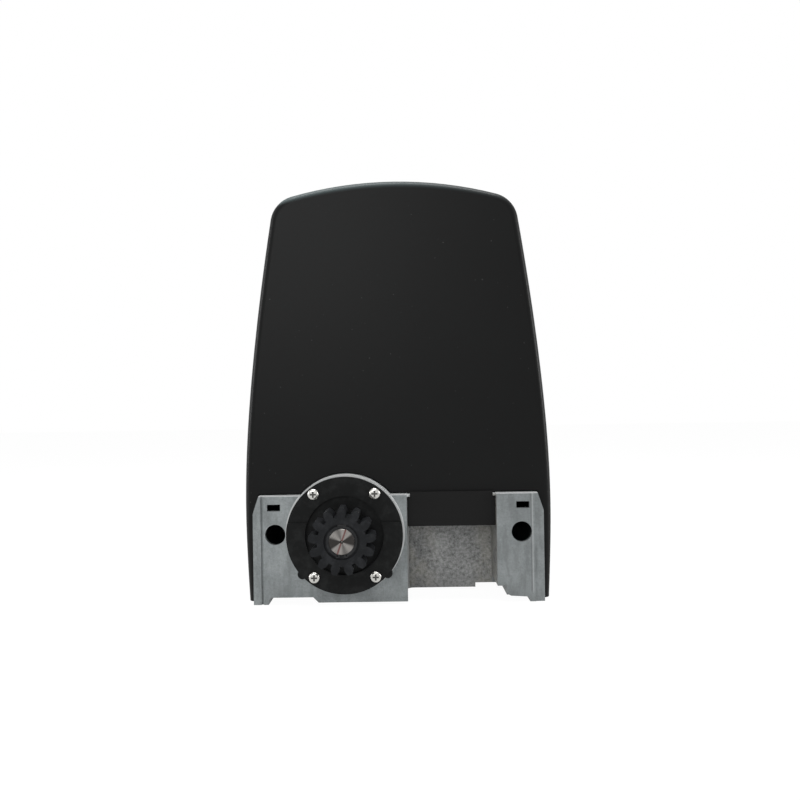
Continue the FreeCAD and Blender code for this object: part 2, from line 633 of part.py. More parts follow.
def recess_walls():
    """Walls round the open recess between the plates; the back one closes the gear chamber."""
    left = box(RECESS_LEFT_X - RECESS_WALL, RECESS_LEFT_X, PLATE_FACE_Y, RECESS_BACK_Y + 1,
               FOOT_HEIGHT, PLATE_TOP_Z)
    right = box(RECESS_RIGHT_X, RECESS_RIGHT_X + RECESS_WALL, PLATE_FACE_Y, RECESS_BACK_Y + CHAMBER_WALL,
                RECESS_SIDE_BOTTOM_Z, PLATE_TOP_Z)
    low_x = RECESS_RIGHT_X + RECESS_LOW_STEP
    shelf = box(RECESS_RIGHT_X, low_x + RECESS_LOW_WALL, PLATE_FACE_Y + PLATE_THICK,
                RECESS_BACK_Y + CHAMBER_WALL, RECESS_SIDE_BOTTOM_Z, RECESS_SIDE_BOTTOM_Z + RECESS_LOW_WALL)
    low_right = box(low_x, low_x + RECESS_LOW_WALL, PLATE_FACE_Y + PLATE_THICK,
                    RECESS_BACK_Y + CHAMBER_WALL, FOOT_HEIGHT, RECESS_SIDE_BOTTOM_Z + RECESS_LOW_WALL)
    back = box(RECESS_LEFT_X - RECESS_WALL, RECESS_RIGHT_X + RECESS_WALL, RECESS_BACK_Y,
               RECESS_BACK_Y + CHAMBER_WALL, RECESS_BACK_BOTTOM_Z, PLATE_TOP_Z)
    step = box(RECESS_RIGHT_X - RECESS_NOTCH, RECESS_RIGHT_X + RECESS_WALL + 1, RECESS_BACK_Y - 1,
               RECESS_BACK_Y + CHAMBER_WALL + 1, 0, FOOT_HEIGHT)
    fillet_edge = box(RECESS_LEFT_X, RECESS_LEFT_X + RECESS_FILLET, RECESS_BACK_Y - RECESS_FILLET,
                      RECESS_BACK_Y, RECESS_BACK_BOTTOM_Z, PLATE_TOP_Z - PLATE_RIM)
    fillet = fillet_edge.cut(rod_z(RECESS_LEFT_X + RECESS_FILLET, RECESS_BACK_Y - RECESS_FILLET,
                                   RECESS_FILLET, 0, PLATE_TOP_Z))
    ledges = [box(RECESS_LEFT_X - 1, RECESS_LEFT_X + LEDGE, PANEL_FACE_Y + PANEL_THICK,
                  PANEL_FACE_Y + PANEL_THICK + LEDGE_THICK, PANEL_Z, PLATE_TOP_Z),
              box(RECESS_RIGHT_X - LEDGE, RECESS_RIGHT_X + 1, PANEL_FACE_Y + PANEL_THICK,
                  PANEL_FACE_Y + PANEL_THICK + LEDGE_THICK, PANEL_Z, PLATE_TOP_Z)]
    return [left, right, shelf, low_right, back.cut(step), fillet] + ledges


def gear_chamber():
    outer = box(CHAMBER_LEFT_X - CHAMBER_WALL, CHAMBER_RIGHT_X + CHAMBER_WALL, RECESS_BACK_Y,
                CHAMBER_FRONT_Y, FOOT_HEIGHT, CHAMBER_ROOF_Z)
    pad = rounded_block(STATOR_HALF, STATOR_HALF, STATOR_CORNER_R, CHAMBER_ROOF_Z, PAD_TOP_Z,
                        WORM_X, WORM_Y)
    bracket = box(WORM_X - STATOR_HALF, WORM_X + STATOR_HALF, RECESS_BACK_Y - 1, RECESS_BACK_Y + 8,
                  PLATE_TOP_Z, CHAMBER_ROOF_Z)
    return [outer, pad, bracket]


def chamber_cuts():
    inside = box(CHAMBER_LEFT_X, CHAMBER_RIGHT_X, CHAMBER_BACK_Y, CHAMBER_FRONT_Y + 1, FLOOR_TOP_Z,
                 CHAMBER_TOP_Z)
    top_bore = rod_z(WORM_X, WORM_Y, WORM_UP_OUT_R + SEAT_FIT, CHAMBER_TOP_Z - 1, PAD_TOP_Z + 1)
    tie_holes = [rod_z(x, y, TIE_BOLT_R + THREAD_FIT, PAD_TOP_Z - TIE_BOLT_ENGAGE, PAD_TOP_Z + 1)
                 for x, y in tie_bolt_places()]
    cover_holes = [rod_y(x, z, GEARBOX_SCREW_R + THREAD_FIT, CHAMBER_FRONT_Y - 14, CHAMBER_FRONT_Y + 1)
                   for x, z in gearbox_screw_places()]
    return [inside, top_bore] + tie_holes + cover_holes


def tie_bolt_places():
    return [(WORM_X + sx * TIE_BOLT_OFFSET, WORM_Y + sy * TIE_BOLT_OFFSET)
            for sx in (-1, 1) for sy in (-1, 1)]


def gearbox_screw_places():
    left = CHAMBER_LEFT_X - CHAMBER_WALL / 2
    right = CHAMBER_RIGHT_X + CHAMBER_WALL / 2
    low = FLOOR_TOP_Z + CHAMBER_WALL
    high = CHAMBER_TOP_Z
    return [(left, low), (left, AXIS_Z), (left, high), (right, low), (right, AXIS_Z), (right, high)]


def flange_screw_places():
    return [(AXIS_X + sx * FLANGE_SCREW_X, AXIS_Z + sz * FLANGE_SCREW_Z)
            for sx in (-1, 1) for sz in (-1, 1)]


def panel_screw_places():
    z = (PANEL_Z + PLATE_TOP_Z) / 2
    return [(RECESS_LEFT_X + LEDGE / 2 + PANEL_GAP, z), (RECESS_RIGHT_X - LEDGE / 2 - PANEL_GAP, z)]


def make_base_casting():
    solids = [tub(), plate(-1), plate(1)] + recess_walls() + gear_chamber()
    solids.append(rod_y(AXIS_X, AXIS_Z, BOSS_R, BOSS_FACE_Y, BOSS_FACE_Y + BOSS_DEPTH))
    solids.append(gusset(0.0, BOSS_FACE_Y + FLANGE_STEP, BOSS_FACE_Y + BOSS_DEPTH))
    solids.append(rod_y(AXIS_X, AXIS_Z, SNOUT_R, BOSS_FACE_Y, RECESS_BACK_Y + 1))
    solids += [rod_z(sx * JACK_X, sy * JACK_Y, JACK_BOSS_R, FOOT_HEIGHT, JACK_BOSS_TOP_Z)
               for sx in (-1, 1) for sy in (-1, 1)]
    solids.append(ring_z(WORM_X, WORM_Y, WORM_LOW_OUT_R + SEAT_FIT, WORM_LOW_OUT_R + 4,
                         FLOOR_TOP_Z - 1, WORM_LOW_TOP_Z))
    base = solids[0].fuse(solids[1:])
    cuts = [box(RECESS_LEFT_X, RECESS_RIGHT_X, PLATE_FACE_Y - 1, RECESS_BACK_Y, -1, PANEL_Z - 1)
            .cut(recess_walls()[5]),
            box(RECESS_RIGHT_X - 1, RECESS_RIGHT_X + RECESS_LOW_STEP, PLATE_FACE_Y - 1, RECESS_BACK_Y,
                -1, RECESS_SIDE_BOTTOM_Z)]
    cuts += chamber_cuts() + plate_openings(-1) + plate_openings(1)
    cuts.append(rod_y(AXIS_X, AXIS_Z, REAR_BEARING_OUT_R + SEAT_FIT, BOSS_FACE_Y - 1,
                      BOSS_FACE_Y + REAR_BEARING_WIDTH))
    cuts.append(rod_y(AXIS_X, AXIS_Z, SHAFT_COLLAR_R + 2, BOSS_FACE_Y, CHAMBER_BACK_Y + 1))
    cuts += [rod_y(x, z, PAN_SHANK_R + THREAD_FIT, BOSS_FACE_Y - 1, BOSS_FACE_Y + PAN_SHANK_LENGTH)
             for x, z in flange_screw_places()]
    for sx in (-1, 1):
        for sy in (-1, 1):
            cuts += bolt_slot(sx * BOLT_X, sy * BOLT_Y)
            cuts.append(rod_z(sx * JACK_X, sy * JACK_Y, JACK_R + THREAD_FIT, -1, JACK_BOSS_TOP_Z + 1))
    cuts.append(rod_z(CABLE_X, CABLE_Y, GROMMET_R + SEAT_FIT, 0, FLOOR_TOP_Z + 1))
    cuts += cover_screw_slots() + [housing_screw_hole(x) for x in housing_screw_xs()]
    cuts += [rod_y(x, z, PANEL_SCREW_R + HOLE_FIT, PANEL_FACE_Y, PANEL_FACE_Y + 12)
             for x, z in panel_screw_places()]
    cuts.append(rod_z(CABLE_X, -CABLE_Y + 2, EARTH_SCREW_R + THREAD_FIT, FOOT_HEIGHT - 1, FLOOR_TOP_Z + 1))
    cuts.append(rod_x(WORM_Y, OIL_PLUG_Z, OIL_PLUG_R + THREAD_FIT, CHAMBER_RIGHT_X - 1,
                      CHAMBER_RIGHT_X + CHAMBER_WALL + 1))
    return cut_all(base, cuts).removeSplitter()


def bolt_slot(x, y):
    reach = BOLT_SLOT_LENGTH / 2 - BOLT_SLOT_R
    low, high = -1, FLOOR_TOP_Z + 1
    return [box(x - reach, x + reach, y - BOLT_SLOT_R, y + BOLT_SLOT_R, low, high),
            rod_z(x - reach, y, BOLT_SLOT_R, low, high), rod_z(x + reach, y, BOLT_SLOT_R, low, high)]


def cover_screw_slots():
    """Slots open at the top, so that the captive cover screws lift out with the cover."""
    slots = []
    for x in (-COVER_SCREW_X, COVER_SCREW_X):
        reach = COVER_SCREW_R + HOLE_FIT
        y0, y1 = BASE_FRONT_Y - BASE_WALL - 1, BASE_FRONT_Y + 1
        slots.append(box(x - reach, x + reach, y0, y1, COVER_SCREW_Z, SIDE_WALL_TOP_Z))
        slots.append(rod_y(x, COVER_SCREW_Z, reach, y0, y1))
    return slots


def make_levelling_screws():
    screws = []
    for sx in (-1, 1):
        for sy in (-1, 1):
            x, y = sx * JACK_X, sy * JACK_Y
            screw = rod_z(x, y, JACK_R, JACK_TIP_Z, JACK_TIP_Z + JACK_LENGTH)
            slot = box(x - JACK_R, x + JACK_R, y - 0.6, y + 0.6, JACK_TIP_Z + JACK_LENGTH - 2,
                       JACK_TIP_Z + JACK_LENGTH + 1)
            screws.append(screw.cut(slot))
    return Part.makeCompound(screws)


def make_cable_grommet():
    body = rod_z(CABLE_X, CABLE_Y, GROMMET_R, FOOT_HEIGHT - GROMMET_LIP, FLOOR_TOP_Z + GROMMET_LIP)
    lips = [rod_z(CABLE_X, CABLE_Y, GROMMET_R + GROMMET_LIP, FLOOR_TOP_Z, FLOOR_TOP_Z + GROMMET_LIP),
            rod_z(CABLE_X, CABLE_Y, GROMMET_R + GROMMET_LIP, FOOT_HEIGHT - GROMMET_LIP, FOOT_HEIGHT)]
    return body.fuse(lips).cut(rod_z(CABLE_X, CABLE_Y, GROMMET_BORE_R, 0, 40)).removeSplitter()


def make_earth_screw():
    head = rod_z(CABLE_X, -CABLE_Y + 2, 4.2, FLOOR_TOP_Z, FLOOR_TOP_Z + 3)
    slot = box(CABLE_X - 5, CABLE_X + 5, -CABLE_Y + 1.4, -CABLE_Y + 2.6, FLOOR_TOP_Z + 1.8,
               FLOOR_TOP_Z + 4)
    return head.fuse(rod_z(CABLE_X, -CABLE_Y + 2, EARTH_SCREW_R, FOOT_HEIGHT, FLOOR_TOP_Z)).cut(slot)


# ---------------------------------------------------------------- output flange, seal, pinion
def make_output_flange():
    disc = rod_y(AXIS_X, AXIS_Z, FLANGE_R, FLANGE_FACE_Y, BOSS_FACE_Y)
    lower = rod_y(AXIS_X, AXIS_Z, FLANGE_R, FLANGE_FACE_Y - FLANGE_STEP, FLANGE_FACE_Y)
    lower = lower.common(box(AXIS_X - 100, AXIS_X + 100, FLANGE_FACE_Y - 10, BOSS_FACE_Y, -100,
                             AXIS_Z + FLANGE_STEP_Z))
    ears = []
    for angle in (222, 318):
        reach = FLANGE_R - 1.0
        x = AXIS_X + reach * math.cos(math.radians(angle))
        z = AXIS_Z + reach * math.sin(math.radians(angle))
        ears.append(rod_y(x, z, FLANGE_EAR_R, FLANGE_FACE_Y, BOSS_FACE_Y))
    recess = rod_y(AXIS_X, AXIS_Z, FLANGE_RECESS_R, FLANGE_FACE_Y - 5,
                   FLANGE_FACE_Y + FLANGE_RECESS_DEPTH)
    collar = rod_y(AXIS_X, AXIS_Z, SEAL_HOUSING_R, FLANGE_FACE_Y, BOSS_FACE_Y)
    flange = disc.fuse([lower] + ears).cut(recess).fuse(collar)
    cuts = [rod_y(AXIS_X, AXIS_Z, SEAL_R + SEAT_FIT, FLANGE_FACE_Y - 5, FLANGE_FACE_Y + SEAL_WIDTH),
            rod_y(AXIS_X, AXIS_Z, SHAFT_R + 1, FLANGE_FACE_Y - 5, BOSS_FACE_Y + 1)]
    for x, z in flange_screw_places():
        cuts.append(rod_y(x, z, PAN_SHANK_R + HOLE_FIT, FLANGE_FACE_Y - 5, BOSS_FACE_Y + 1))
        cuts.append(rod_y(x, z, PAN_HEAD_R + PAN_POCKET_GAP, FLANGE_FACE_Y - 5, FLANGE_FACE_Y))
    return cut_all(flange, cuts).removeSplitter()


def make_flange_screws():
    return Part.makeCompound([pan_screw(x, z, FLANGE_FACE_Y, PAN_HEAD_R, PAN_HEAD_HEIGHT, PAN_SHANK_R,
                                        FLANGE_THICK + PAN_SHANK_LENGTH - 2)
                              for x, z in flange_screw_places()])


def make_shaft_seal():
    """Lip seal pressed into the flange: outer ring and a thinner lip running on the shaft."""
    outer = ring_y(AXIS_X, AXIS_Z, SHAFT_R + 2.5, SEAL_R, FLANGE_FACE_Y, FLANGE_FACE_Y + SEAL_WIDTH)
    lip = ring_y(AXIS_X, AXIS_Z, SHAFT_R + RUN_FIT, SHAFT_R + 2.5, FLANGE_FACE_Y + 1,
                 FLANGE_FACE_Y + SEAL_WIDTH - 1.5)
    return outer.fuse(lip).removeSplitter()


def tooth_outline(teeth, module, y):
    """Wire of a spur gear with involute flanks, one tooth pointing up, in the plane of y."""
    pitch_r = teeth * module / 2
    base_r = pitch_r * math.cos(math.radians(20))
    tip_r = pitch_r + module
    root_r = pitch_r - (1.25 - PINION_SHIFT / 2) * module
    half_pitch = math.pi / (2 * teeth) + 2 * PINION_SHIFT * math.tan(math.radians(20)) / teeth

    def involute(r):
        if r <= base_r:
            return 0.0
        phi = math.acos(base_r / r)
        return math.tan(phi) - phi

    offset = half_pitch + involute(pitch_r)

    def point(r, angle):
        return V(AXIS_X + r * math.sin(angle), y, AXIS_Z + r * math.cos(angle))

    edges = []
    steps = [base_r + (tip_r - base_r) * k / 4 for k in range(5)]
    for k in range(teeth):
        centre = 2 * math.pi * k / teeth
        following = centre + 2 * math.pi / teeth
        rising = [point(r, centre - offset + involute(r)) for r in steps]
        falling = [point(r, centre + offset - involute(r)) for r in reversed(steps)]
        root_in = point(root_r, centre - offset)
        root_out = point(root_r, centre + offset)
        next_in = point(root_r, following - offset)
        for flank in (rising, falling):
            curve = Part.BSplineCurve()
            curve.interpolate(flank)
            edges.append(curve.toShape())
        edges.append(Part.makeLine(root_in, rising[0]))
        edges.append(Part.makeLine(falling[-1], root_out))
        edges.append(Part.Arc(rising[-1], point(tip_r, centre), falling[0]).toShape())
        edges.append(Part.Arc(root_out, point(root_r, (centre + following) / 2), next_in).toShape())
    return Part.Wire(Part.__sortEdges__(edges))


def make_pinion():
    outline = tooth_outline(PINION_TEETH, PINION_MODULE, PINION_FRONT_Y)
    blank = Part.Face(outline).extrude(V(0, PINION_WIDTH, 0))
    bore = rod_y(AXIS_X, AXIS_Z, SHAFT_NOSE_R + SEAT_FIT, PINION_FRONT_Y - 1, PINION_BACK_Y + 1)
    recess = rod_y(AXIS_X, AXIS_Z, PINION_RECESS_R, PINION_FRONT_Y - 1,
                   PINION_FRONT_Y + PINION_RECESS_DEPTH)
    keyway = key_block(SHAFT_NOSE_R, PINION_FRONT_Y, PINION_BACK_Y + 1, SEAT_FIT)
    return cut_all(blank, [bore, recess, keyway])


def key_block(radius, y0, y1, grow=0.0):
    """Key on top of the shaft, half in the shaft and half in the hub."""
    low = AXIS_Z + radius - KEY_HEIGHT / 2
    return box(AXIS_X - KEY_WIDTH / 2 - grow, AXIS_X + KEY_WIDTH / 2 + grow, y0, y1, low - grow,
               low + KEY_HEIGHT + grow)


def pinion_key_span():
    start = PINION_FRONT_Y + PINION_RECESS_DEPTH + 2.5
    return start, start + KEY_LENGTH


def wheel_span():
    return WORM_Y - WHEEL_HUB_WIDTH / 2, WORM_Y + WHEEL_HUB_WIDTH / 2


def wheel_key_span():
    return WORM_Y - KEY_LENGTH / 2, WORM_Y + KEY_LENGTH / 2


def circlip_y(face_y):
    return face_y - CIRCLIP_THICK - SEAT_FIT


def circlip(shaft_r, y0):
    """External retaining ring with its gap and two lug holes."""
    inner = shaft_r - CIRCLIP_DEPTH + SEAT_FIT
    outer = shaft_r + CIRCLIP_RING
    ring = ring_y(AXIS_X, AXIS_Z, inner, outer - 0.5, y0, y0 + CIRCLIP_THICK)
    gap = box(AXIS_X - 2, AXIS_X + 2, y0 - 1, y0 + 3, AXIS_Z - outer - 2, AXIS_Z)
    lugs = [rod_y(AXIS_X + sx * 4, AXIS_Z - (inner + outer) / 2, CIRCLIP_RING / 2 + 0.4, y0,
                  y0 + CIRCLIP_THICK) for sx in (-1, 1)]
    ring = ring.fuse(lugs).cut(gap)
    inside = rod_y(AXIS_X, AXIS_Z, inner, y0 - 1, y0 + 3)
    eyes = [rod_y(AXIS_X + sx * 4, AXIS_Z - (inner + outer) / 2, 0.8, y0 - 1, y0 + 3)
            for sx in (-1, 1)]
    return cut_all(ring, [inside] + eyes).removeSplitter()


def make_output_shaft():
    wheel_low, wheel_high = wheel_span()
    sections = [(SHAFT_NOSE_R, PINION_FRONT_Y, PINION_BACK_Y),
                (SHAFT_R, PINION_BACK_Y, BOSS_FACE_Y + REAR_BEARING_WIDTH),
                (SHAFT_SEAT_R, BOSS_FACE_Y + REAR_BEARING_WIDTH, wheel_low - SHAFT_COLLAR_WIDTH),
                (SHAFT_COLLAR_R, wheel_low - SHAFT_COLLAR_WIDTH, wheel_low),
                (SHAFT_SEAT_R, wheel_low, FRONT_BEARING_Y),
                (SHAFT_FRONT_R, FRONT_BEARING_Y, SHAFT_END_Y)]
    shaft = fuse_all([rod_y(AXIS_X, AXIS_Z, r, y0, y1) for r, y0, y1 in sections])
    end = [e for e in shaft.Edges if abs(e.BoundBox.YMax - PINION_FRONT_Y) < 1e-6]
    shaft = shaft.makeChamfer(SHAFT_END_CHAMFER, end)
    nose_clip = circlip_y(PINION_FRONT_Y + PINION_RECESS_DEPTH)
    cuts = [Part.makeCone(CENTRE_HOLE_R, 0, CENTRE_HOLE_R * 1.7, V(AXIS_X, PINION_FRONT_Y, AXIS_Z),
                          V(0, 1, 0)),
            rod_y(AXIS_X, AXIS_Z, CENTRE_HOLE_R / 2, PINION_FRONT_Y - 1, PINION_FRONT_Y + 5),
            key_block(SHAFT_NOSE_R, *pinion_key_span(), SEAT_FIT),
            key_block(SHAFT_SEAT_R, *wheel_key_span(), SEAT_FIT),
            circlip_groove(SHAFT_NOSE_R, nose_clip), circlip_groove(SHAFT_SEAT_R, wheel_high + SEAT_FIT),
            rod_y(AXIS_X, AXIS_Z, PLUNGER_R + 0.4, PLUNGER_BACK_Y - PLUNGER_STROKE_ROOM, SHAFT_END_Y + 1)]
    return cut_all(shaft, cuts)


def circlip_groove(shaft_r, y0):
    return ring_y(AXIS_X, AXIS_Z, shaft_r - CIRCLIP_DEPTH, shaft_r + 1, y0 - SEAT_FIT,
                  y0 + CIRCLIP_THICK + SEAT_FIT)


def make_worm_wheel():
    """Bronze wheel; its teeth are slanted by the worm's lead angle."""
    half = WHEEL_WIDTH / 2
    lead_angle = math.atan(WORM_LEAD / (2 * math.pi * WORM_PITCH_R))
    twist = half * math.tan(lead_angle) / WHEEL_PITCH_R
    back = wheel_outline(WORM_Y - half, -twist)
    front = wheel_outline(WORM_Y + half, twist)
    teeth = Part.makeLoft([back, front], True, True)
    low, high = wheel_span()
    hub = rod_y(AXIS_X, AXIS_Z, WHEEL_HUB_R, low, high)
    rim_r = WHEEL_PITCH_R - 1.25 * WORM_MODULE - 5
    wheel = teeth.fuse(hub)
    cuts = [ring_y(AXIS_X, AXIS_Z, WHEEL_HUB_R, rim_r, WORM_Y + WHEEL_WEB / 2, WORM_Y + half + 1),
            ring_y(AXIS_X, AXIS_Z, WHEEL_HUB_R, rim_r, WORM_Y - half - 1, WORM_Y - WHEEL_WEB / 2),
            rod_y(AXIS_X, AXIS_Z, SHAFT_SEAT_R + SEAT_FIT, low - 1, high + 1),
            key_block(SHAFT_SEAT_R, low - 1, high + 1, SEAT_FIT)]
    return cut_all(wheel, cuts)


def wheel_outline(y, twist):
    """Straight-flanked teeth; a tooth gap faces the worm (+X) when the twist is zero."""
    root_r = WHEEL_PITCH_R - 1.25 * WORM_MODULE
    tip_r = WHEEL_PITCH_R + 0.8 * WORM_MODULE
    pitch = 2 * math.pi / WHEEL_TEETH
    pitch_half = (WORM_LEAD / 2 - TOOTH_BACKLASH) / 2 / WHEEL_PITCH_R
    slope = math.tan(math.radians(20)) / WHEEL_PITCH_R
    root_half = pitch_half + slope * 1.25 * WORM_MODULE
    tip_half = pitch_half - slope * 0.8 * WORM_MODULE
    points = []
    for k in range(WHEEL_TEETH):
        centre = (k + 0.5) * pitch
        for r, offset in ((root_r, -root_half), (tip_r, -tip_half), (tip_r, tip_half),
                          (root_r, root_half)):
            angle = centre + offset + twist
            points.append(V(AXIS_X + r * math.cos(angle), y, AXIS_Z - r * math.sin(angle)))
    return Part.makePolygon(points + [points[0]])


def make_worm_shaft():
    """Hardened worm, cut on the motor's own shaft."""
    low, high = AXIS_Z - WORM_LENGTH / 2, AXIS_Z + WORM_LENGTH / 2
    sections = [(WORM_LOW_R, FLOOR_TOP_Z + FACE_GAP, WORM_LOW_TOP_Z),
                (WORM_LOW_R + 2, WORM_LOW_TOP_Z, low), (WORM_ROOT_R, low, high),
                (WORM_UP_R + 2, high, WORM_UP_Z), (WORM_UP_R, WORM_UP_Z, PAD_TOP_Z + MOTOR_FLANGE_THICK),
                (ROTOR_SHAFT_R, PAD_TOP_Z + MOTOR_FLANGE_THICK, top_bearing_z()),
                (WORM_LOW_R, top_bearing_z(), BELL_TOP_Z - 2)]
    core = fuse_all([rod_z(WORM_X, WORM_Y, r, z0, z1) for r, z0, z1 in sections])
    return core.fuse(worm_thread(low + 2, high - 2)).removeSplitter()


def worm_thread(low, high):
    """Right-hand trapezoidal thread with a crest facing the wheel at the shaft's height."""
    turns = math.floor((high - low) / WORM_LEAD)
    height = turns * WORM_LEAD
    start = AXIS_Z - height / 2
    pitch_half = (WORM_LEAD / 2 - TOOTH_BACKLASH) / 2
    slope = math.tan(math.radians(20))
    inner = WORM_ROOT_R - 0.4
    inner_half = pitch_half + slope * (WORM_PITCH_R - inner)
    outer = WORM_PITCH_R + 0.8 * WORM_MODULE
    outer_half = pitch_half - slope * (outer - WORM_PITCH_R)
    helix = Part.makeHelix(WORM_LEAD, height, WORM_PITCH_R)
    profile = Part.makePolygon([V(inner, 0, -inner_half), V(outer, 0, -outer_half),
                                V(outer, 0, outer_half), V(inner, 0, inner_half),
                                V(inner, 0, -inner_half)])
    thread = Part.Wire(helix).makePipeShell([profile], True, True)
    phase = 0.0 if turns % 2 else math.pi
    thread.rotate(V(0, 0, 0), V(0, 0, 1), math.degrees(phase))
    thread.translate(V(WORM_X, WORM_Y, start))
    return thread


# ---------------------------------------------------------------- gearbox cover
def make_gearbox_cover():
    left, right = CHAMBER_LEFT_X - CHAMBER_WALL, CHAMBER_RIGHT_X + CHAMBER_WALL
    bottom = FLOOR_TOP_Z + FACE_GAP
    lid = box(left, right, GEARBOX_PLATE_Y, GEARBOX_FACE_Y, bottom, CHAMBER_ROOF_Z - FACE_GAP)
    boss = rod_y(AXIS_X, AXIS_Z, GEARBOX_BOSS_R, GEARBOX_PLATE_Y, GUIDE_END_Y)
    ribs = [box(left + 10, right - 10, GEARBOX_FACE_Y, GEARBOX_FACE_Y + 4, AXIS_Z - 2, AXIS_Z + 2),
            box(AXIS_X - 2, AXIS_X + 2, GEARBOX_FACE_Y, GEARBOX_FACE_Y + 4, bottom + 4,
                CHAMBER_ROOF_Z - 8)]
    cuts = [rod_y(AXIS_X, AXIS_Z, FRONT_BEARING_OUT_R + SEAT_FIT, GEARBOX_PLATE_Y - 1,
                  FRONT_BEARING_END_Y),
            rod_y(AXIS_X, AXIS_Z, PLUNGER_R + PLUNGER_FIT, GEARBOX_PLATE_Y, GUIDE_END_Y + 1)]
    cuts += [rod_y(x, z, GEARBOX_SCREW_R + HOLE_FIT, GEARBOX_PLATE_Y - 1, GEARBOX_FACE_Y + 1)
             for x, z in gearbox_screw_places()]
    return cut_all(fuse_all([lid, boss] + ribs), cuts)


def make_gearbox_gasket():
    left, right = CHAMBER_LEFT_X - CHAMBER_WALL, CHAMBER_RIGHT_X + CHAMBER_WALL
    sheet = box(left, right, CHAMBER_FRONT_Y, GEARBOX_PLATE_Y, FLOOR_TOP_Z + FACE_GAP,
                CHAMBER_ROOF_Z - FACE_GAP)
    window = box(CHAMBER_LEFT_X, CHAMBER_RIGHT_X, CHAMBER_FRONT_Y - 1, GEARBOX_PLATE_Y + 1,
                 FLOOR_TOP_Z + CHAMBER_WALL / 2, CHAMBER_TOP_Z)
    holes = [rod_y(x, z, GEARBOX_SCREW_R + HOLE_FIT, CHAMBER_FRONT_Y - 1, GEARBOX_PLATE_Y + 1)
             for x, z in gearbox_screw_places()]
    return cut_all(sheet, [window] + holes)


def make_gearbox_cover_screws():
    """Socket head screws."""
    screws = []
    for x, z in gearbox_screw_places():
        head = rod_y(x, z, GEARBOX_SCREW_HEAD_R, GEARBOX_FACE_Y, GEARBOX_FACE_Y + GEARBOX_SCREW_HEAD)
        shank = rod_y(x, z, GEARBOX_SCREW_R, GEARBOX_FACE_Y + 1 - GEARBOX_SCREW_LENGTH,
                      GEARBOX_FACE_Y + 1)
        socket = hexagon_y(x, z, GEARBOX_SCREW_HEAD_R * 0.52, GEARBOX_FACE_Y + 2, GEARBOX_FACE_Y + 9)
        screws.append(head.fuse(shank).cut(socket).removeSplitter())
    return Part.makeCompound(screws)


def make_oil_plug():
    outside = CHAMBER_RIGHT_X + CHAMBER_WALL
    corners = [V(outside, WORM_Y + OIL_PLUG_HEX_R * math.cos(math.radians(60 * k)),
                 OIL_PLUG_Z + OIL_PLUG_HEX_R * math.sin(math.radians(60 * k))) for k in range(6)]
    head = prism(corners, V(OIL_PLUG_HEAD, 0, 0))
    return head.fuse(rod_x(WORM_Y, OIL_PLUG_Z, OIL_PLUG_R, CHAMBER_RIGHT_X, outside)).removeSplitter()


# ---------------------------------------------------------------- motor
def stator_outline(z0, z1):
    return rounded_block(STATOR_HALF, STATOR_HALF, STATOR_CORNER_R, z0, z1, WORM_X, WORM_Y)


def tie_bolt_clearance(z0, z1):
    return [rod_z(x, y, TIE_BOLT_R + HOLE_FIT, z0, z1) for x, y in tie_bolt_places()]


def skirt_inside(z0, z1):
    return rod_z(WORM_X, WORM_Y, STATOR_HALF - SHIELD_WALL, z0, z1)


def make_motor_flange():
    top = STACK_BOTTOM_Z
    solid = stator_outline(PAD_TOP_Z, top)
    low = PAD_TOP_Z + MOTOR_FLANGE_THICK
    cuts = [skirt_inside(low, top + 1), rod_z(WORM_X, WORM_Y, WORM_UP_R + 2, PAD_TOP_Z - 1, low + 1),
            rod_z(WORM_X, WORM_Y, WORM_UP_OUT_R + SEAT_FIT, PAD_TOP_Z - 1, WORM_UP_Z + WORM_UP_WIDTH)]
    return cut_all(solid, cuts + tie_bolt_clearance(PAD_TOP_Z - 1, top + 1))


def make_motor_end_bell():
    solid = stator_outline(STACK_TOP_Z, BELL_TOP_Z)
    inner_top = BELL_TOP_Z - END_BELL_TOP
    solid = solid.cut(skirt_inside(STACK_TOP_Z - 1, inner_top))
    solid = solid.fuse(rod_z(WORM_X, WORM_Y, WORM_LOW_OUT_R + 4, inner_top - 6, inner_top + 1))
    cuts = [rod_z(WORM_X, WORM_Y, WORM_LOW_OUT_R + SEAT_FIT, inner_top - 7, top_bearing_z()
                  + WORM_LOW_WIDTH),
            rod_z(WORM_X, WORM_Y, WORM_LOW_R + 1, inner_top - 7, BELL_TOP_Z - 1)]
    vents = [rod_x(WORM_Y + y, STACK_TOP_Z + SHIELD_SKIRT / 2, 4, WORM_X - 70, WORM_X + 70)
             for y in (-22, 0, 22)]
    return cut_all(solid, cuts + vents + tie_bolt_clearance(STACK_TOP_Z - 1, BELL_TOP_Z + 1))


def top_bearing_z():
    return BELL_TOP_Z - END_BELL_TOP - 5


def make_stator_core():
    core = stator_outline(STACK_BOTTOM_Z, STACK_TOP_Z)
    cuts = [rod_z(WORM_X, WORM_Y, STATOR_BORE_R, STACK_BOTTOM_Z - 1, STACK_TOP_Z + 1)]
    return cut_all(core, cuts + tie_bolt_clearance(STACK_BOTTOM_Z - 1, STACK_TOP_Z + 1))


def make_stator_windings():
    """End turns of the windings, standing out of both ends of the core."""
    inner = STATOR_BORE_R + WINDING_GAP
    rings = []
    for low, high in ((STACK_BOTTOM_Z - WINDING_HEIGHT, STACK_BOTTOM_Z),
                      (STACK_TOP_Z, STACK_TOP_Z + WINDING_HEIGHT)):
        ring = ring_z(WORM_X, WORM_Y, inner, WINDING_R, low, high)
        outer_z = low if low < STACK_BOTTOM_Z else high
        edges = [e for e in ring.Edges if isinstance(e.Curve, Part.Circle)
                 and abs(e.Vertexes[0].Z - outer_z) < 1e-6]
        rings.append(ring.makeFillet(4.5, edges))
    return Part.makeCompound(rings)


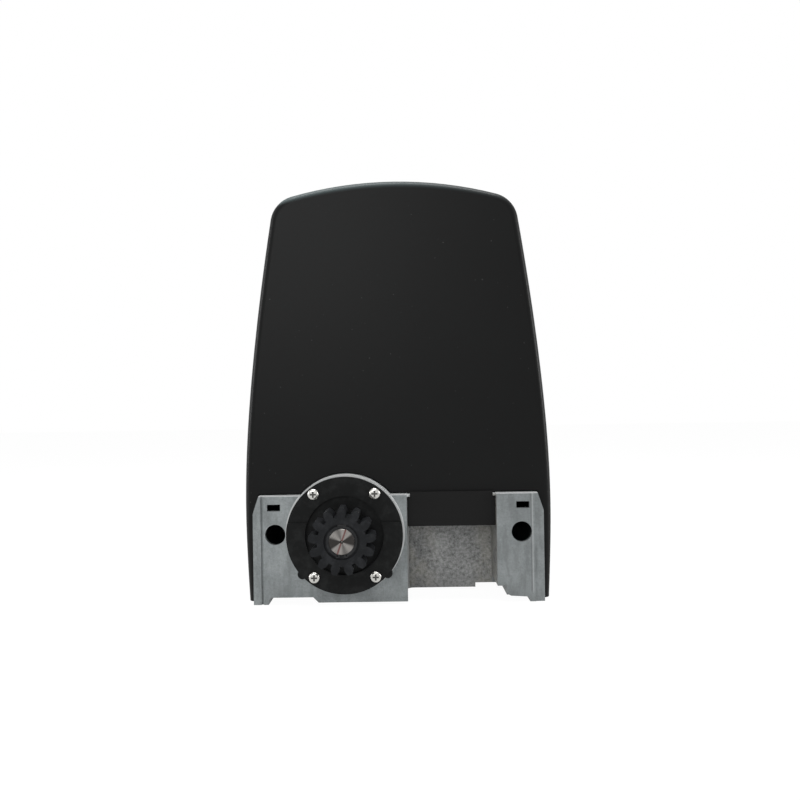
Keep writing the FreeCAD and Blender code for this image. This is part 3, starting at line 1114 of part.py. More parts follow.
def make_rotor_core():
    outer = STATOR_BORE_R - AIR_GAP
    core = rod_z(WORM_X, WORM_Y, outer, STACK_BOTTOM_Z, STACK_TOP_Z)
    rings = [ring_z(WORM_X, WORM_Y, outer - 9, outer - 1, STACK_BOTTOM_Z - ROTOR_RING, STACK_BOTTOM_Z),
             ring_z(WORM_X, WORM_Y, outer - 9, outer - 1, STACK_TOP_Z, STACK_TOP_Z + ROTOR_RING)]
    rotor = core.fuse(rings)
    return rotor.cut(rod_z(WORM_X, WORM_Y, ROTOR_SHAFT_R + SEAT_FIT, 0, BELL_TOP_Z)).removeSplitter()


def make_motor_tie_bolts():
    bolts = []
    for x, y in tie_bolt_places():
        head = rod_z(x, y, TIE_BOLT_HEAD_R, BELL_TOP_Z, BELL_TOP_Z + TIE_BOLT_HEAD)
        slot = box(x - TIE_BOLT_HEAD_R, x + TIE_BOLT_HEAD_R, y - 0.6, y + 0.6,
                   BELL_TOP_Z + TIE_BOLT_HEAD - 1.5, BELL_TOP_Z + TIE_BOLT_HEAD + 1)
        shank = rod_z(x, y, TIE_BOLT_R, PAD_TOP_Z - TIE_BOLT_ENGAGE + 0.5, BELL_TOP_Z)
        bolts.append(head.fuse(shank).cut(slot).removeSplitter())
    return Part.makeCompound(bolts)


# ---------------------------------------------------------------- capacitor
def make_capacitor_cup():
    low = CHAMBER_ROOF_Z
    outer = CAPACITOR_R + SEAT_FIT + CAPACITOR_CUP_WALL
    cup = rod_z(CAPACITOR_X, WORM_Y, outer, low, low + CAPACITOR_CUP_HEIGHT)
    foot = rod_z(CAPACITOR_X, WORM_Y, outer + 3, low, low + 3)
    bore = rod_z(CAPACITOR_X, WORM_Y, CAPACITOR_R + SEAT_FIT, low + 2, low + CAPACITOR_CUP_HEIGHT + 1)
    return cup.fuse(foot).cut(bore).removeSplitter()


def make_run_capacitor():
    low = CHAMBER_ROOF_Z + 2
    can = rod_z(CAPACITOR_X, WORM_Y, CAPACITOR_R, low, low + CAPACITOR_HEIGHT)
    rims = [e for e in can.Edges if isinstance(e.Curve, Part.Circle)]
    can = can.makeFillet(2.0, rims)
    tabs = [box(CAPACITOR_X + x - 3.1, CAPACITOR_X + x + 3.1, WORM_Y - 0.4, WORM_Y + 0.4,
                low + CAPACITOR_HEIGHT, low + CAPACITOR_HEIGHT + CAPACITOR_TERMINAL) for x in (-7, 7)]
    return can.fuse(tabs)


# ---------------------------------------------------------------- electronics
def carrier_leg_places():
    return [(WORM_X + sx * CARRIER_LEG_OFFSET, WORM_Y + sy * CARRIER_LEG_OFFSET)
            for sx in (-1, 1) for sy in (-1, 1)]


def board_screw_places():
    inset = 6.0
    return [(sx * (BOARD_HALF - inset), z) for sx in (-1, 1)
            for z in (BOARD_BOTTOM_Z + inset, BOARD_TOP_Z - inset)]


def make_board_carrier():
    """Moulded shelf on the motor with an upright plate for the control board."""
    shelf = box(WORM_X - SHELF_HALF, WORM_X + SHELF_HALF, CARRIER_Y - SHELF_DEPTH + 6, CARRIER_Y,
                SHELF_Z, SHELF_Z + CARRIER_THICK)
    legs = [rod_z(x, y, CARRIER_LEG_R, BELL_TOP_Z, SHELF_Z + 1) for x, y in carrier_leg_places()]
    upright = box(-CARRIER_HALF, CARRIER_HALF, CARRIER_Y, CARRIER_Y + CARRIER_THICK, SHELF_Z,
                  CARRIER_TOP_Z)
    gussets = [prism([V(x, CARRIER_Y - 30, SHELF_Z + 1), V(x, CARRIER_Y + 1, SHELF_Z + 1),
                      V(x, CARRIER_Y + 1, SHELF_Z + 50)], V(3, 0, 0))
               for x in (WORM_X - SHELF_HALF, WORM_X + SHELF_HALF - 12)]
    standoffs = [rod_y(x, z, STANDOFF_R, CARRIER_Y + 1, BOARD_Y) for x, z in board_screw_places()]
    carrier = fuse_all([shelf, upright] + legs + gussets + standoffs)
    holes = [rod_y(x, z, BOARD_SCREW_R + THREAD_FIT, CARRIER_Y - 1, BOARD_Y + 1)
             for x, z in board_screw_places()]
    holes += [rod_z(x, y, 2.2, BELL_TOP_Z - 1, SHELF_Z + 9) for x, y in carrier_leg_places()]
    wire_slot = box(-18, 18, CARRIER_Y - 1, CARRIER_Y + 9, SHELF_Z + 8, SHELF_Z + 22)
    return cut_all(carrier, holes + [wire_slot])


def make_carrier_screws():
    screws = []
    for x, y in carrier_leg_places():
        top = SHELF_Z + CARRIER_THICK
        head = rod_z(x, y, 4.0, top, top + 3)
        slot = box(x - 4, x + 4, y - 0.5, y + 0.5, top + 1.8, top + 4)
        shank = rod_z(x, y, 2.1, BELL_TOP_Z, top)
        screws.append(head.fuse(shank).cut(slot).removeSplitter())
    return Part.makeCompound(screws)


def make_control_board():
    board = box(-BOARD_HALF, BOARD_HALF, BOARD_Y, BOARD_FRONT_Y, BOARD_BOTTOM_Z, BOARD_TOP_Z)
    corners = [e for e in board.Edges if e.BoundBox.YLength > 1 and e.BoundBox.XLength < 1e-6
               and e.BoundBox.ZLength < 1e-6]
    board = board.makeFillet(2.0, corners)
    return cut_all(board, [rod_y(x, z, BOARD_SCREW_R + HOLE_FIT, BOARD_Y - 1, BOARD_FRONT_Y + 1)
                           for x, z in board_screw_places()])


def make_board_screws():
    return Part.makeCompound([pan_screw(x, z, BOARD_FRONT_Y, BOARD_SCREW_HEAD_R, 2.2, BOARD_SCREW_R,
                                        BOARD_FRONT_Y - CARRIER_Y - 1, side=1)
                              for x, z in board_screw_places()])


def on_board(x, z, width, depth, height):
    """Component standing on the board; x and z are its centre measured from the board's middle."""
    middle_z = (BOARD_BOTTOM_Z + BOARD_TOP_Z) / 2
    return box(x - width / 2, x + width / 2, BOARD_FRONT_Y, BOARD_FRONT_Y + depth,
               middle_z + z - height / 2, middle_z + z + height / 2)


def make_terminal_blocks():
    """Screw terminals along the board's lower edge: one plug block of poles on each side."""
    row_z = -(BOARD_TOP_Z - BOARD_BOTTOM_Z) / 2 + 16
    middle_z = (BOARD_BOTTOM_Z + BOARD_TOP_Z) / 2
    blocks = []
    for first, poles in ((-60, 8), (8, 10)):
        width = poles * 5.08
        block = on_board(first + width / 2, row_z, width, 10, 9)
        for k in range(poles):
            x = first + 5.08 * (k + 0.5)
            block = block.cut(rod_y(x, middle_z + row_z + 1.5, 1.7, BOARD_FRONT_Y + 8,
                                    BOARD_FRONT_Y + 11))
            block = block.cut(box(x - 1.7, x + 1.7, BOARD_FRONT_Y + 2, BOARD_FRONT_Y + 6,
                                  middle_z + row_z - 5, middle_z + row_z - 1))
        blocks.append(block)
    return Part.makeCompound(blocks)


def make_relays():
    return Part.makeCompound([on_board(x, 8, 19, 15.5, 15.5) for x in (-52, -28)])


def make_filter_capacitors():
    cans = []
    for x, z in ((2, 14), (20, 14), (11, 30)):
        middle_z = (BOARD_BOTTOM_Z + BOARD_TOP_Z) / 2
        can = rod_y(x, middle_z + z, 6.2, BOARD_FRONT_Y, BOARD_FRONT_Y + 16)
        cans.append(can.makeFillet(0.8, [e for e in can.Edges if isinstance(e.Curve, Part.Circle)
                                         and e.BoundBox.YMin > BOARD_FRONT_Y + 1]))
    return Part.makeCompound(cans)


def make_processor_chip():
    body = on_board(46, 2, 14, 1.8, 14)
    pins = [on_board(46 + 1.27 * k, 2, 0.5, 0.5, 17.4) for k in range(-4, 5)]
    return body.fuse(pins)


def make_fuse():
    """Glass fuse lying in two clips."""
    middle_z = (BOARD_BOTTOM_Z + BOARD_TOP_Z) / 2
    tube = rod_x(BOARD_FRONT_Y + 5, middle_z + 32, 2.6, -58, -38)
    clips = [box(x - 2.5, x + 2.5, BOARD_FRONT_Y, BOARD_FRONT_Y + 5, middle_z + 29.2, middle_z + 34.8)
             .cut(rod_x(BOARD_FRONT_Y + 5, middle_z + 32, 2.6, x - 3, x + 3)) for x in (-55, -41)]
    return Part.makeCompound([tube] + clips)


def make_radio_receiver():
    """Plug-in receiver: a small board standing on the main one."""
    middle_z = (BOARD_BOTTOM_Z + BOARD_TOP_Z) / 2
    board = box(60, 61.6, BOARD_FRONT_Y, BOARD_FRONT_Y + 18, middle_z + 6, middle_z + 40)
    coil = rod_x(BOARD_FRONT_Y + 10, middle_z + 22, 3.5, 61.6, 66)
    return board.fuse(coil)


def transformer_middle():
    return WORM_X, CARRIER_Y - SHELF_DEPTH / 2 + 4, SHELF_Z + CARRIER_THICK


def make_transformer_core():
    """Laminated E and I stack standing on the shelf."""
    x, y, z = transformer_middle()
    half_w, half_d = TRANSFORMER_WIDTH / 2, TRANSFORMER_STACK / 2
    core = box(x - half_w, x + half_w, y - half_d, y + half_d, z, z + TRANSFORMER_HEIGHT)
    for sign in (-1, 1):
        low = x + (TRANSFORMER_LIMB if sign > 0 else TRANSFORMER_LIMB - half_w)
        core = core.cut(box(low, low + half_w - 2 * TRANSFORMER_LIMB, y - half_d - 1, y + half_d + 1,
                            z + TRANSFORMER_LIMB, z + TRANSFORMER_HEIGHT - TRANSFORMER_LIMB))
    return core


def make_transformer_coil():
    x, y, z = transformer_middle()
    half_w = TRANSFORMER_WIDTH / 2 - TRANSFORMER_LIMB - COIL_GAP
    half_d = TRANSFORMER_STACK / 2 + COIL_BULGE
    low, high = z + TRANSFORMER_LIMB + COIL_GAP, z + TRANSFORMER_HEIGHT - TRANSFORMER_LIMB - COIL_GAP
    coil = box(x - half_w, x + half_w, y - half_d, y + half_d, low, high)
    coil = coil.makeFillet(5.0, [e for e in coil.Edges if e.BoundBox.ZLength > 1])
    limb = TRANSFORMER_LIMB + COIL_GAP
    return coil.cut(box(x - limb, x + limb, y - TRANSFORMER_STACK / 2 - COIL_GAP,
                        y + TRANSFORMER_STACK / 2 + COIL_GAP, low - 1, high + 1))


# ---------------------------------------------------------------- limit sensor panel
def make_limit_panel():
    panel = box(RECESS_LEFT_X + PANEL_GAP, RECESS_RIGHT_X - PANEL_GAP, PANEL_FACE_Y,
                PANEL_FACE_Y + PANEL_THICK, PANEL_Z, PLATE_TOP_Z + CUTOUT_GAP + PANEL_GAP)
    posts = [rod_y(x, z, SENSOR_POST / 2, PANEL_FACE_Y + 1, PANEL_FACE_Y + PANEL_THICK + SENSOR_POST)
             for x, z in sensor_post_places()]
    holes = [rod_y(x, z, PANEL_SCREW_R + THREAD_FIT, PANEL_FACE_Y + 1, PANEL_FACE_Y + 9)
             for x, z in panel_screw_places()]
    return cut_all(fuse_all([panel] + posts), holes)


def sensor_post_places():
    middle = (RECESS_LEFT_X + RECESS_RIGHT_X) / 2
    z = (PANEL_Z + PLATE_TOP_Z - LIP_HEIGHT) / 2
    reach = SENSOR_BOARD_WIDTH / 2 - 4
    return [(middle - reach, z), (middle + reach, z)]


def sensor_board_y():
    return PANEL_FACE_Y + PANEL_THICK + SENSOR_POST


def make_limit_sensor_board():
    (left, z), (right, _) = sensor_post_places()
    half = SENSOR_BOARD_HEIGHT / 2
    return box(left - 4, right + 4, sensor_board_y(), sensor_board_y() + BOARD_THICK, z - half,
               z + half)


def make_limit_sensors():
    """Two reed sensors soldered across the back of their board."""
    (left, z), (right, _) = sensor_post_places()
    middle = (left + right) / 2
    y = sensor_board_y() + BOARD_THICK + 1.4
    sensors = []
    for x in (middle - SENSOR_PITCH / 2, middle + SENSOR_PITCH / 2):
        body = rod_z(x, y, 1.4, z - 6, z + 6)
        sensors.append(body)
    return Part.makeCompound(sensors)


def make_panel_screws():
    seat = PANEL_FACE_Y + PANEL_THICK + LEDGE_THICK
    return Part.makeCompound([pan_screw(x, z, seat, PANEL_SCREW_HEAD_R, 2.0, PANEL_SCREW_R,
                                        LEDGE_THICK + PANEL_THICK - 1.5, side=1)
                              for x, z in panel_screw_places()])


# ---------------------------------------------------------------- manual release
def housing_screw_xs():
    return (AXIS_X + 22, HOUSING_HALF - 6)


def housing_screw_hole(x):
    return rod_y(x, HOUSING_SCREW_Z, HOUSING_SCREW_R + THREAD_FIT, BASE_FRONT_Y - BASE_WALL - 1,
                 BASE_FRONT_Y + 1)


def make_release_housing():
    """Moulded block on the base's front wall, with the pocket that the lever folds into."""
    back = BASE_FRONT_Y
    block = box(-HOUSING_HALF, HOUSING_HALF, back, HOUSING_FACE_Y, HOUSING_BOTTOM_Z, HOUSING_TOP_Z)
    rims = [e for e in block.Edges if e.BoundBox.YLength > 1]
    block = block.makeFillet(4.0, rims)
    pocket_end = LOCK_X + LEVER_END_R + 3
    low, high = AXIS_Z - POCKET_HALF_HEIGHT, AXIS_Z + POCKET_HALF_HEIGHT
    swing = CAM_R + CAM_THROW + 1.0
    cuts = [box(AXIS_X, pocket_end, back + HOUSING_WALL, HOUSING_FACE_Y + 1, low, high),
            rod_z(AXIS_X, PIVOT_Y, swing, low, high),
            box(AXIS_X - swing, AXIS_X, PIVOT_Y, HOUSING_FACE_Y + 1, low, high),
            box(AXIS_X - swing, AXIS_X + swing, back - 1, PIVOT_Y, AXIS_Z - 8, AXIS_Z + 8),
            rod_z(AXIS_X, PIVOT_Y, PIVOT_PIN_R + RUN_FIT, low - 8, high + 8)]
    cuts += [rod_y(x, HOUSING_SCREW_Z, HOUSING_SCREW_R + HOLE_FIT, back - 1, HOUSING_FACE_Y + 1)
             for x in housing_screw_xs()]
    cuts += [rod_y(x, HOUSING_SCREW_Z, HOUSING_SCREW_HEAD_R + 0.6, HOUSING_FACE_Y - 4,
                   HOUSING_FACE_Y + 1) for x in housing_screw_xs()]
    return cut_all(block, cuts)


def make_housing_screws():
    seat = HOUSING_FACE_Y - 4
    return Part.makeCompound([pan_screw(x, HOUSING_SCREW_Z, seat, HOUSING_SCREW_HEAD_R, 2.6,
                                        HOUSING_SCREW_R, seat - BASE_FRONT_Y + BASE_WALL, side=1)
                              for x in housing_screw_xs()])


def make_release_lever():
    """Lever with a round cam off the pivot's centre, so that swinging it out presses the plunger."""
    z0, z1 = AXIS_Z - LEVER_HALF_HEIGHT, AXIS_Z + LEVER_HALF_HEIGHT
    cam = rod_z(AXIS_X, PIVOT_Y + CAM_THROW, CAM_R, z0, z1)
    arm = box(AXIS_X, LOCK_X, LEVER_BACK_Y, LEVER_FACE_Y, z0, z1)
    end = rod_y(LOCK_X, AXIS_Z, LEVER_END_R, LEVER_BACK_Y, LEVER_FACE_Y)
    lock_boss = rod_y(LOCK_X, AXIS_Z, LOCK_R + 2.5, LEVER_FACE_Y - LOCK_LENGTH + 3, LEVER_FACE_Y)
    grips = [rod_z(AXIS_X + 24 + 8 * k, LEVER_FACE_Y + 1.2, 2.4, z0 - 1, z1 + 1) for k in range(5)]
    cuts = [rod_z(AXIS_X, PIVOT_Y, PIVOT_PIN_R + PIN_FIT, z0 - 1, z1 + 1),
            rod_y(LOCK_X, AXIS_Z, LOCK_R + RUN_FIT, LEVER_BACK_Y - 20, LEVER_FACE_Y + 1)]
    return cut_all(fuse_all([cam, arm, end, lock_boss]), cuts + grips)


def make_lever_pin():
    return rod_z(AXIS_X, PIVOT_Y, PIVOT_PIN_R, AXIS_Z - POCKET_HALF_HEIGHT - 7.5,
                 AXIS_Z + POCKET_HALF_HEIGHT + 7.5)


def make_lock_cylinder():
    face = LEVER_FACE_Y + LOCK_PROUD
    barrel = rod_y(LOCK_X, AXIS_Z, LOCK_R, face - LOCK_LENGTH, face)
    keyway = box(LOCK_X - KEYWAY_WIDTH / 2, LOCK_X + KEYWAY_WIDTH / 2, face - LOCK_LENGTH * 0.7,
                 face + 1, AXIS_Z - KEYWAY_HEIGHT / 2, AXIS_Z + KEYWAY_HEIGHT / 2)
    return barrel.cut(keyway)


def make_release_plunger():
    rod = rod_y(AXIS_X, AXIS_Z, PLUNGER_R, PLUNGER_BACK_Y, PLUNGER_TIP_Y)
    collar_y = GUIDE_END_Y + PLUNGER_STROKE_ROOM
    return rod.fuse(rod_y(AXIS_X, AXIS_Z, PLUNGER_COLLAR_R, collar_y, collar_y + PLUNGER_COLLAR))


# ---------------------------------------------------------------- every part and its node name
def make_parts():
    nose_clip_y = circlip_y(PINION_FRONT_Y + PINION_RECESS_DEPTH)
    front_bearing = (AXIS_X, AXIS_Z, SHAFT_FRONT_R + RUN_FIT, FRONT_BEARING_OUT_R, FRONT_BEARING_Y,
                     FRONT_BEARING_END_Y)
    rear_bearing = (AXIS_X, AXIS_Z, SHAFT_R + RUN_FIT, REAR_BEARING_OUT_R, BOSS_FACE_Y,
                    BOSS_FACE_Y + REAR_BEARING_WIDTH)
    low_bearing = (WORM_X, WORM_Y, WORM_LOW_R + RUN_FIT, WORM_LOW_OUT_R, FLOOR_TOP_Z, WORM_LOW_TOP_Z)
    up_bearing = (WORM_X, WORM_Y, WORM_UP_R + RUN_FIT, WORM_UP_OUT_R, WORM_UP_Z,
                  WORM_UP_Z + WORM_UP_WIDTH)
    top_bearing = (WORM_X, WORM_Y, WORM_LOW_R + RUN_FIT, WORM_LOW_OUT_R, top_bearing_z(),
                   top_bearing_z() + WORM_LOW_WIDTH)
    return {
        "base_casting": make_base_casting(),
        "levelling_screws": make_levelling_screws(),
        "cable_grommet": make_cable_grommet(),
        "earth_screw": make_earth_screw(),
        "output_flange": make_output_flange(),
        "flange_screws": make_flange_screws(),
        "shaft_seal": make_shaft_seal(),
        "output_shaft": make_output_shaft(),
        "pinion": make_pinion(),
        "pinion_key": key_block(SHAFT_NOSE_R, *pinion_key_span()),
        "pinion_circlip": circlip(SHAFT_NOSE_R, nose_clip_y),
        "output_bearing_rear": bearing(ring_y, *rear_bearing),
        "output_bearing_front": bearing(ring_y, *front_bearing),
        "worm_wheel": make_worm_wheel(),
        "wheel_key": key_block(SHAFT_SEAT_R, *wheel_key_span()),
        "wheel_circlip": circlip(SHAFT_SEAT_R, wheel_span()[1] + SEAT_FIT),
        "worm_shaft": make_worm_shaft(),
        "worm_bearing_lower": bearing(ring_z, *low_bearing),
        "worm_bearing_upper": bearing(ring_z, *up_bearing),
        "rotor_bearing_top": bearing(ring_z, *top_bearing),
        "gearbox_cover": make_gearbox_cover(),
        "gearbox_gasket": make_gearbox_gasket(),
        "gearbox_cover_screws": make_gearbox_cover_screws(),
        "oil_plug": make_oil_plug(),
        "motor_flange": make_motor_flange(),
        "motor_end_bell": make_motor_end_bell(),
        "stator_core": make_stator_core(),
        "stator_windings": make_stator_windings(),
        "rotor_core": make_rotor_core(),
        "motor_tie_bolts": make_motor_tie_bolts(),
        "capacitor_cup": make_capacitor_cup(),
        "run_capacitor": make_run_capacitor(),
        "board_carrier": make_board_carrier(),
        "carrier_screws": make_carrier_screws(),
        "control_board": make_control_board(),
        "board_screws": make_board_screws(),
        "terminal_blocks": make_terminal_blocks(),
        "relays": make_relays(),
        "filter_capacitors": make_filter_capacitors(),
        "processor_chip": make_processor_chip(),
        "fuse": make_fuse(),
        "radio_receiver": make_radio_receiver(),
        "transformer_core": make_transformer_core(),
        "transformer_coil": make_transformer_coil(),
        "limit_panel": make_limit_panel(),
        "limit_sensor_board": make_limit_sensor_board(),
        "limit_sensors": make_limit_sensors(),
        "panel_screws": make_panel_screws(),
        "release_housing": make_release_housing(),
        "housing_screws": make_housing_screws(),
        "release_lever": make_release_lever(),
        "lever_pin": make_lever_pin(),
        "lock_cylinder": make_lock_cylinder(),
        "release_plunger": make_release_plunger(),
        "cover": make_cover(),
        "cover_screws": make_cover_screws(),
        "cover_nuts": make_cover_nuts(),
    }


if __name__ == "__main__":
    os.makedirs("parts", exist_ok=True)
    for name, shape in make_parts().items():
        note = "" if shape.isValid() else "  NOT VALID"
        print(f"{name}: {len(shape.Solids)} solids, {shape.Volume / 1000:.2f} cm3{note}")
        shape.exportStep(f"parts/{name}.step")
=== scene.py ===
import math

import bmesh
import bpy
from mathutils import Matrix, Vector


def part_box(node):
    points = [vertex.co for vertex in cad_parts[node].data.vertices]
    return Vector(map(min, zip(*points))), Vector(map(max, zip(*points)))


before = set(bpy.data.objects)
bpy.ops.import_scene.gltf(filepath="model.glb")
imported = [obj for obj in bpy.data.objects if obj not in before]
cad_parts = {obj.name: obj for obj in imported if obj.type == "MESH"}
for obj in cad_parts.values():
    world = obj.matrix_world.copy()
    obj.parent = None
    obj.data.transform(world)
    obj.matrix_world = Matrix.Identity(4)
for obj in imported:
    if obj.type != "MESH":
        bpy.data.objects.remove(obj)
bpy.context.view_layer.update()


# ---------------------------------------------------------------- base casting
# Pressure die-cast aluminium tub with the gear chamber, the two gate-side plates and the open
# recess in one casting. It is left as cast: light grey, smeared, darker over the right plate, and
# dirty in the recess. The boss rim, the plates' top edges and the recess's left corner are painted
# bright as painted highlights, and a shallow fold down the right plate is painted as a line of
# painted highlight beside a line of painted shade.

class Signal:
    """Output of a shader node; sums with it add Math nodes."""

    def __init__(self, finish, socket):
        self.finish = finish
        self.socket = socket

    def math(self, operation, first, second, clamp=False):
        return self.finish.add("ShaderNodeMath", {"operation": operation, "use_clamp": clamp},
                               {0: first, 1: second})

    def __add__(self, other):
        return self.math("ADD", self, other)

    def __radd__(self, other):
        return self.math("ADD", other, self)

    def __sub__(self, other):
        return self.math("SUBTRACT", self, other)

    def __rsub__(self, other):
        return self.math("SUBTRACT", other, self)

    def __mul__(self, other):
        return self.math("MULTIPLY", self, other)

    def __rmul__(self, other):
        return self.math("MULTIPLY", other, self)

    def clamped(self):
        return self.math("ADD", self, 0.0, clamp=True)

    def distance(self):
        return self.math("ABSOLUTE", self, 0.0)

    def wave(self):
        return self.math("SINE", self, 0.0)

    def lobe(self):
        return self.math("COSINE", self, 0.0)

    def angle(self, other):
        return self.math("ARCTAN2", self, other)

    def away(self, other):
        """Distance from the axis that both coordinates are counted from."""
        return self.math("SQRT", self * self + other * other, 0.0)


class Finish:
    """A surface finish: one material, its shader, and a way to add nodes to it."""

    def __init__(self, name, **constants):
        self.material = bpy.data.materials.new(name)
        self.material.use_nodes = True
        self.nodes = self.material.node_tree.nodes
        self.links = self.material.node_tree.links
        self.shader = self.nodes["Principled BSDF"]
        for socket, value in constants.items():
            self.shader.inputs[socket.replace("_", " ")].default_value = value

    def add(self, kind, settings=None, values=None, output=0):
        node = self.nodes.new(kind)
        for setting, value in (settings or {}).items():
            if setting == "stops":
                stops = node.color_ramp.elements
                while len(stops) < len(value):
                    stops.new(0.5)
                for stop, (position, colour) in zip(stops, value):
                    stop.position = position
                    stop.color = (*colour, 1.0)
            else:
                setattr(node, setting, value)
        for key, value in (values or {}).items():
            if isinstance(value, Signal):
                self.links.new(value.socket, node.inputs[key])
            else:
                node.inputs[key].default_value = value
        return Signal(self, node.outputs[output])

    def place(self, centre=(0.0, 0.0, 0.0), turn=(0.0, 0.0, 0.0)):
        """Position on the piece, counted from a centre and turned about it."""
        here = self.add("ShaderNodeTexCoord", output="Object")
        moved = self.add("ShaderNodeVectorMath", {"operation": "SUBTRACT"}, {0: here, 1: centre})
        return self.add("ShaderNodeMapping", {}, {"Vector": moved, "Rotation": turn})

    def axes(self, where):
        parts = self.add("ShaderNodeSeparateXYZ", {}, {0: where})
        return [Signal(self, parts.socket.node.outputs[k]) for k in range(3)]

    def noise(self, where, scale, detail=3.0, roughness=0.5):
        return self.add("ShaderNodeTexNoise", {}, {"Vector": where, "Scale": scale,
                                                   "Detail": detail, "Roughness": roughness})

    def ramp(self, factor, *stops):
        return self.add("ShaderNodeValToRGB", {"stops": stops}, {0: factor})

    def step(self, value, low, high):
        """0 below low, 1 above high."""
        return self.add("ShaderNodeMapRange", {"clamp": True, "interpolation_type": "SMOOTHSTEP"},
                        {0: value, 1: low, 2: high, 3: 0.0, 4: 1.0})

    def mix(self, factor, first, second):
        first = first if isinstance(first, Signal) else (*first, 1.0)
        second = second if isinstance(second, Signal) else (*second, 1.0)
        return self.add("ShaderNodeMix", {"data_type": "RGBA"}, {0: factor, 6: first, 7: second},
                        output=2)

    def fed(self, socket):
        """What already feeds a socket of the shader."""
        return Signal(self, self.shader.inputs[socket].links[0].from_socket)

    def bump(self, height, strength, distance):
        return self.add("ShaderNodeBump", {}, {"Height": height, "Strength": strength,
                                               "Distance": distance})

    def feed(self, **signals):
        for socket, signal in signals.items():
            self.links.new(signal.socket, self.shader.inputs[socket.replace("_", " ")])

    def dress(self, *nodes):
        for node in nodes:
            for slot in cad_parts[node].material_slots:
                slot.material = self.material


pinion_low, pinion_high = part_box("pinion")
shaft_x = (pinion_low[0] + pinion_high[0]) / 2
shaft_z = (pinion_low[2] + pinion_high[2]) / 2
panel_low, panel_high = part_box("limit_panel")
boss_radius = 0.0556
plate_face = -0.100
plate_proud = 0.0120
fold_x = 0.1262
fold_shade_x = 0.1249
shaft_end_y = -0.1510
worm_axis = (0.010, -0.005, 0.0)

casting = Finish("cast_aluminium", Metallic=0.25, Specular_IOR_Level=0.35)
where = casting.place()
x, y, z = casting.axes(where)
cloud = casting.noise(where, 42.0, 5.0, 0.62)
grain = casting.noise(where, 560.0, 3.0, 0.65)
mottle = casting.noise(casting.place((0.3, 0.1, 0.2)), 300.0, 5.0, 0.72)
specks = casting.noise(casting.place((0.1, 0.4, 0.7)), 640.0, 2.0, 0.5)
skin = casting.ramp(cloud * 0.45 + mottle * 0.30 + grain * 0.25, (0.34, (0.150, 0.164, 0.167)),
                    (0.50, (0.232, 0.252, 0.255)), (0.66, (0.320, 0.345, 0.348)))
smear = casting.noise(casting.add("ShaderNodeMapping", {}, {"Vector": where,
                                                            "Scale": (1.0, 1.0, 0.22)}),
                      130.0, 4.0, 0.6)
# Streaky smears, and the right plate made darker.
smeared_and_right_darker = casting.step(smear, 0.46, 0.64) * 0.34 + casting.step(x, 0.06, 0.10) * 0.24
skin = casting.mix(smeared_and_right_darker.clamped(), skin, (0.120, 0.130, 0.131))
inside = casting.step(x, panel_low[0] - 0.0016, panel_low[0] - 0.0010) * \
    casting.step(x, panel_high[0] + 0.0016, panel_high[0] + 0.0010) * \
    casting.step(y, plate_face + 0.0010, plate_face + 0.0040)
rough_skin = casting.ramp(mottle * 0.70 + cloud * 0.30, (0.37, (0.070, 0.072, 0.072)),
                          (0.47, (0.215, 0.219, 0.217)), (0.60, (0.375, 0.380, 0.376)))
stain_left = casting.step(x, panel_low[0] + 0.034, panel_low[0] + 0.014) * \
    casting.step(cloud, 0.40, 0.60)
stain_right = casting.step(x, panel_high[0] - 0.022, panel_high[0] - 0.006) * \
    casting.step(cloud, 0.38, 0.56)
stained = casting.mix((stain_left + stain_right).clamped() * 0.24, rough_skin,
                      (0.330, 0.305, 0.230))
scuffs = casting.step(specks + grain * 0.3, 0.76, 0.84)
foot_dirt = casting.step(z + cloud * 0.05, 0.046, 0.024) * casting.step(mottle, 0.50, 0.62)
dirty = casting.mix((scuffs * 0.35 + foot_dirt * 0.40).clamped(),
                    casting.mix(inside, skin, stained), (0.105, 0.105, 0.105))
from_shaft = casting.place((shaft_x, 0.0, shaft_z))
across, _, up = casting.axes(from_shaft)
radius = across.away(up)
# The boss rim, the plates' top edges and the recess's left corner are painted bright: painted
# highlights where light catches them.
rim_highlight = casting.step(radius, boss_radius - 0.0022, boss_radius - 0.0016) * \
    casting.step(radius, boss_radius + 0.0006, boss_radius + 0.0003) * \
    casting.step(y, plate_face + plate_proud, plate_face + plate_proud - 0.0005)
top_edge_highlight = casting.step(z, panel_high[2] - 0.0022, panel_high[2] - 0.0016) * \
    casting.step(y, plate_face + plate_proud, plate_face + plate_proud - 0.0005)
corner_highlight = casting.step(x, panel_low[0] + 0.0014, panel_low[0] + 0.0006) * \
    casting.step(y, plate_face + 0.0010, plate_face + 0.0020) * \
    casting.step(x, panel_low[0] - 0.0030, panel_low[0] - 0.0010)
on_plate = casting.step(y, plate_face + 0.0005, plate_face + 0.0001) * \
    casting.step(z, 0.006, 0.012)
# The fold down the right plate is painted: a light line of painted highlight beside a dark line of
# painted shade.
fold_highlight = casting.step((x - fold_x).distance(), 0.0010, 0.0004) * on_plate
fold_shade = casting.step((x - fold_shade_x).distance(), 0.0010, 0.0004) * on_plate
edge_highlights = (rim_highlight + top_edge_highlight + corner_highlight + fold_highlight * 0.25).clamped()
fold_shaded = casting.mix(fold_shade * 0.40, dirty, (0.090, 0.095, 0.096))
casting.feed(Base_Color=casting.mix(edge_highlights * 0.85, fold_shaded, (0.62, 0.63, 0.63)),
             Roughness=0.46 + grain * 0.22 - edge_highlights * 0.12,
             Normal=casting.bump(grain * 0.5 + mottle * 0.5, 0.40, 0.0006))
casting.dress("base_casting")

# ---------------------------------------------------------------- levelling screws
# Four slotted zinc-plated set screws in bosses beside the foundation bolts, which raise the base
# off its concrete plinth.


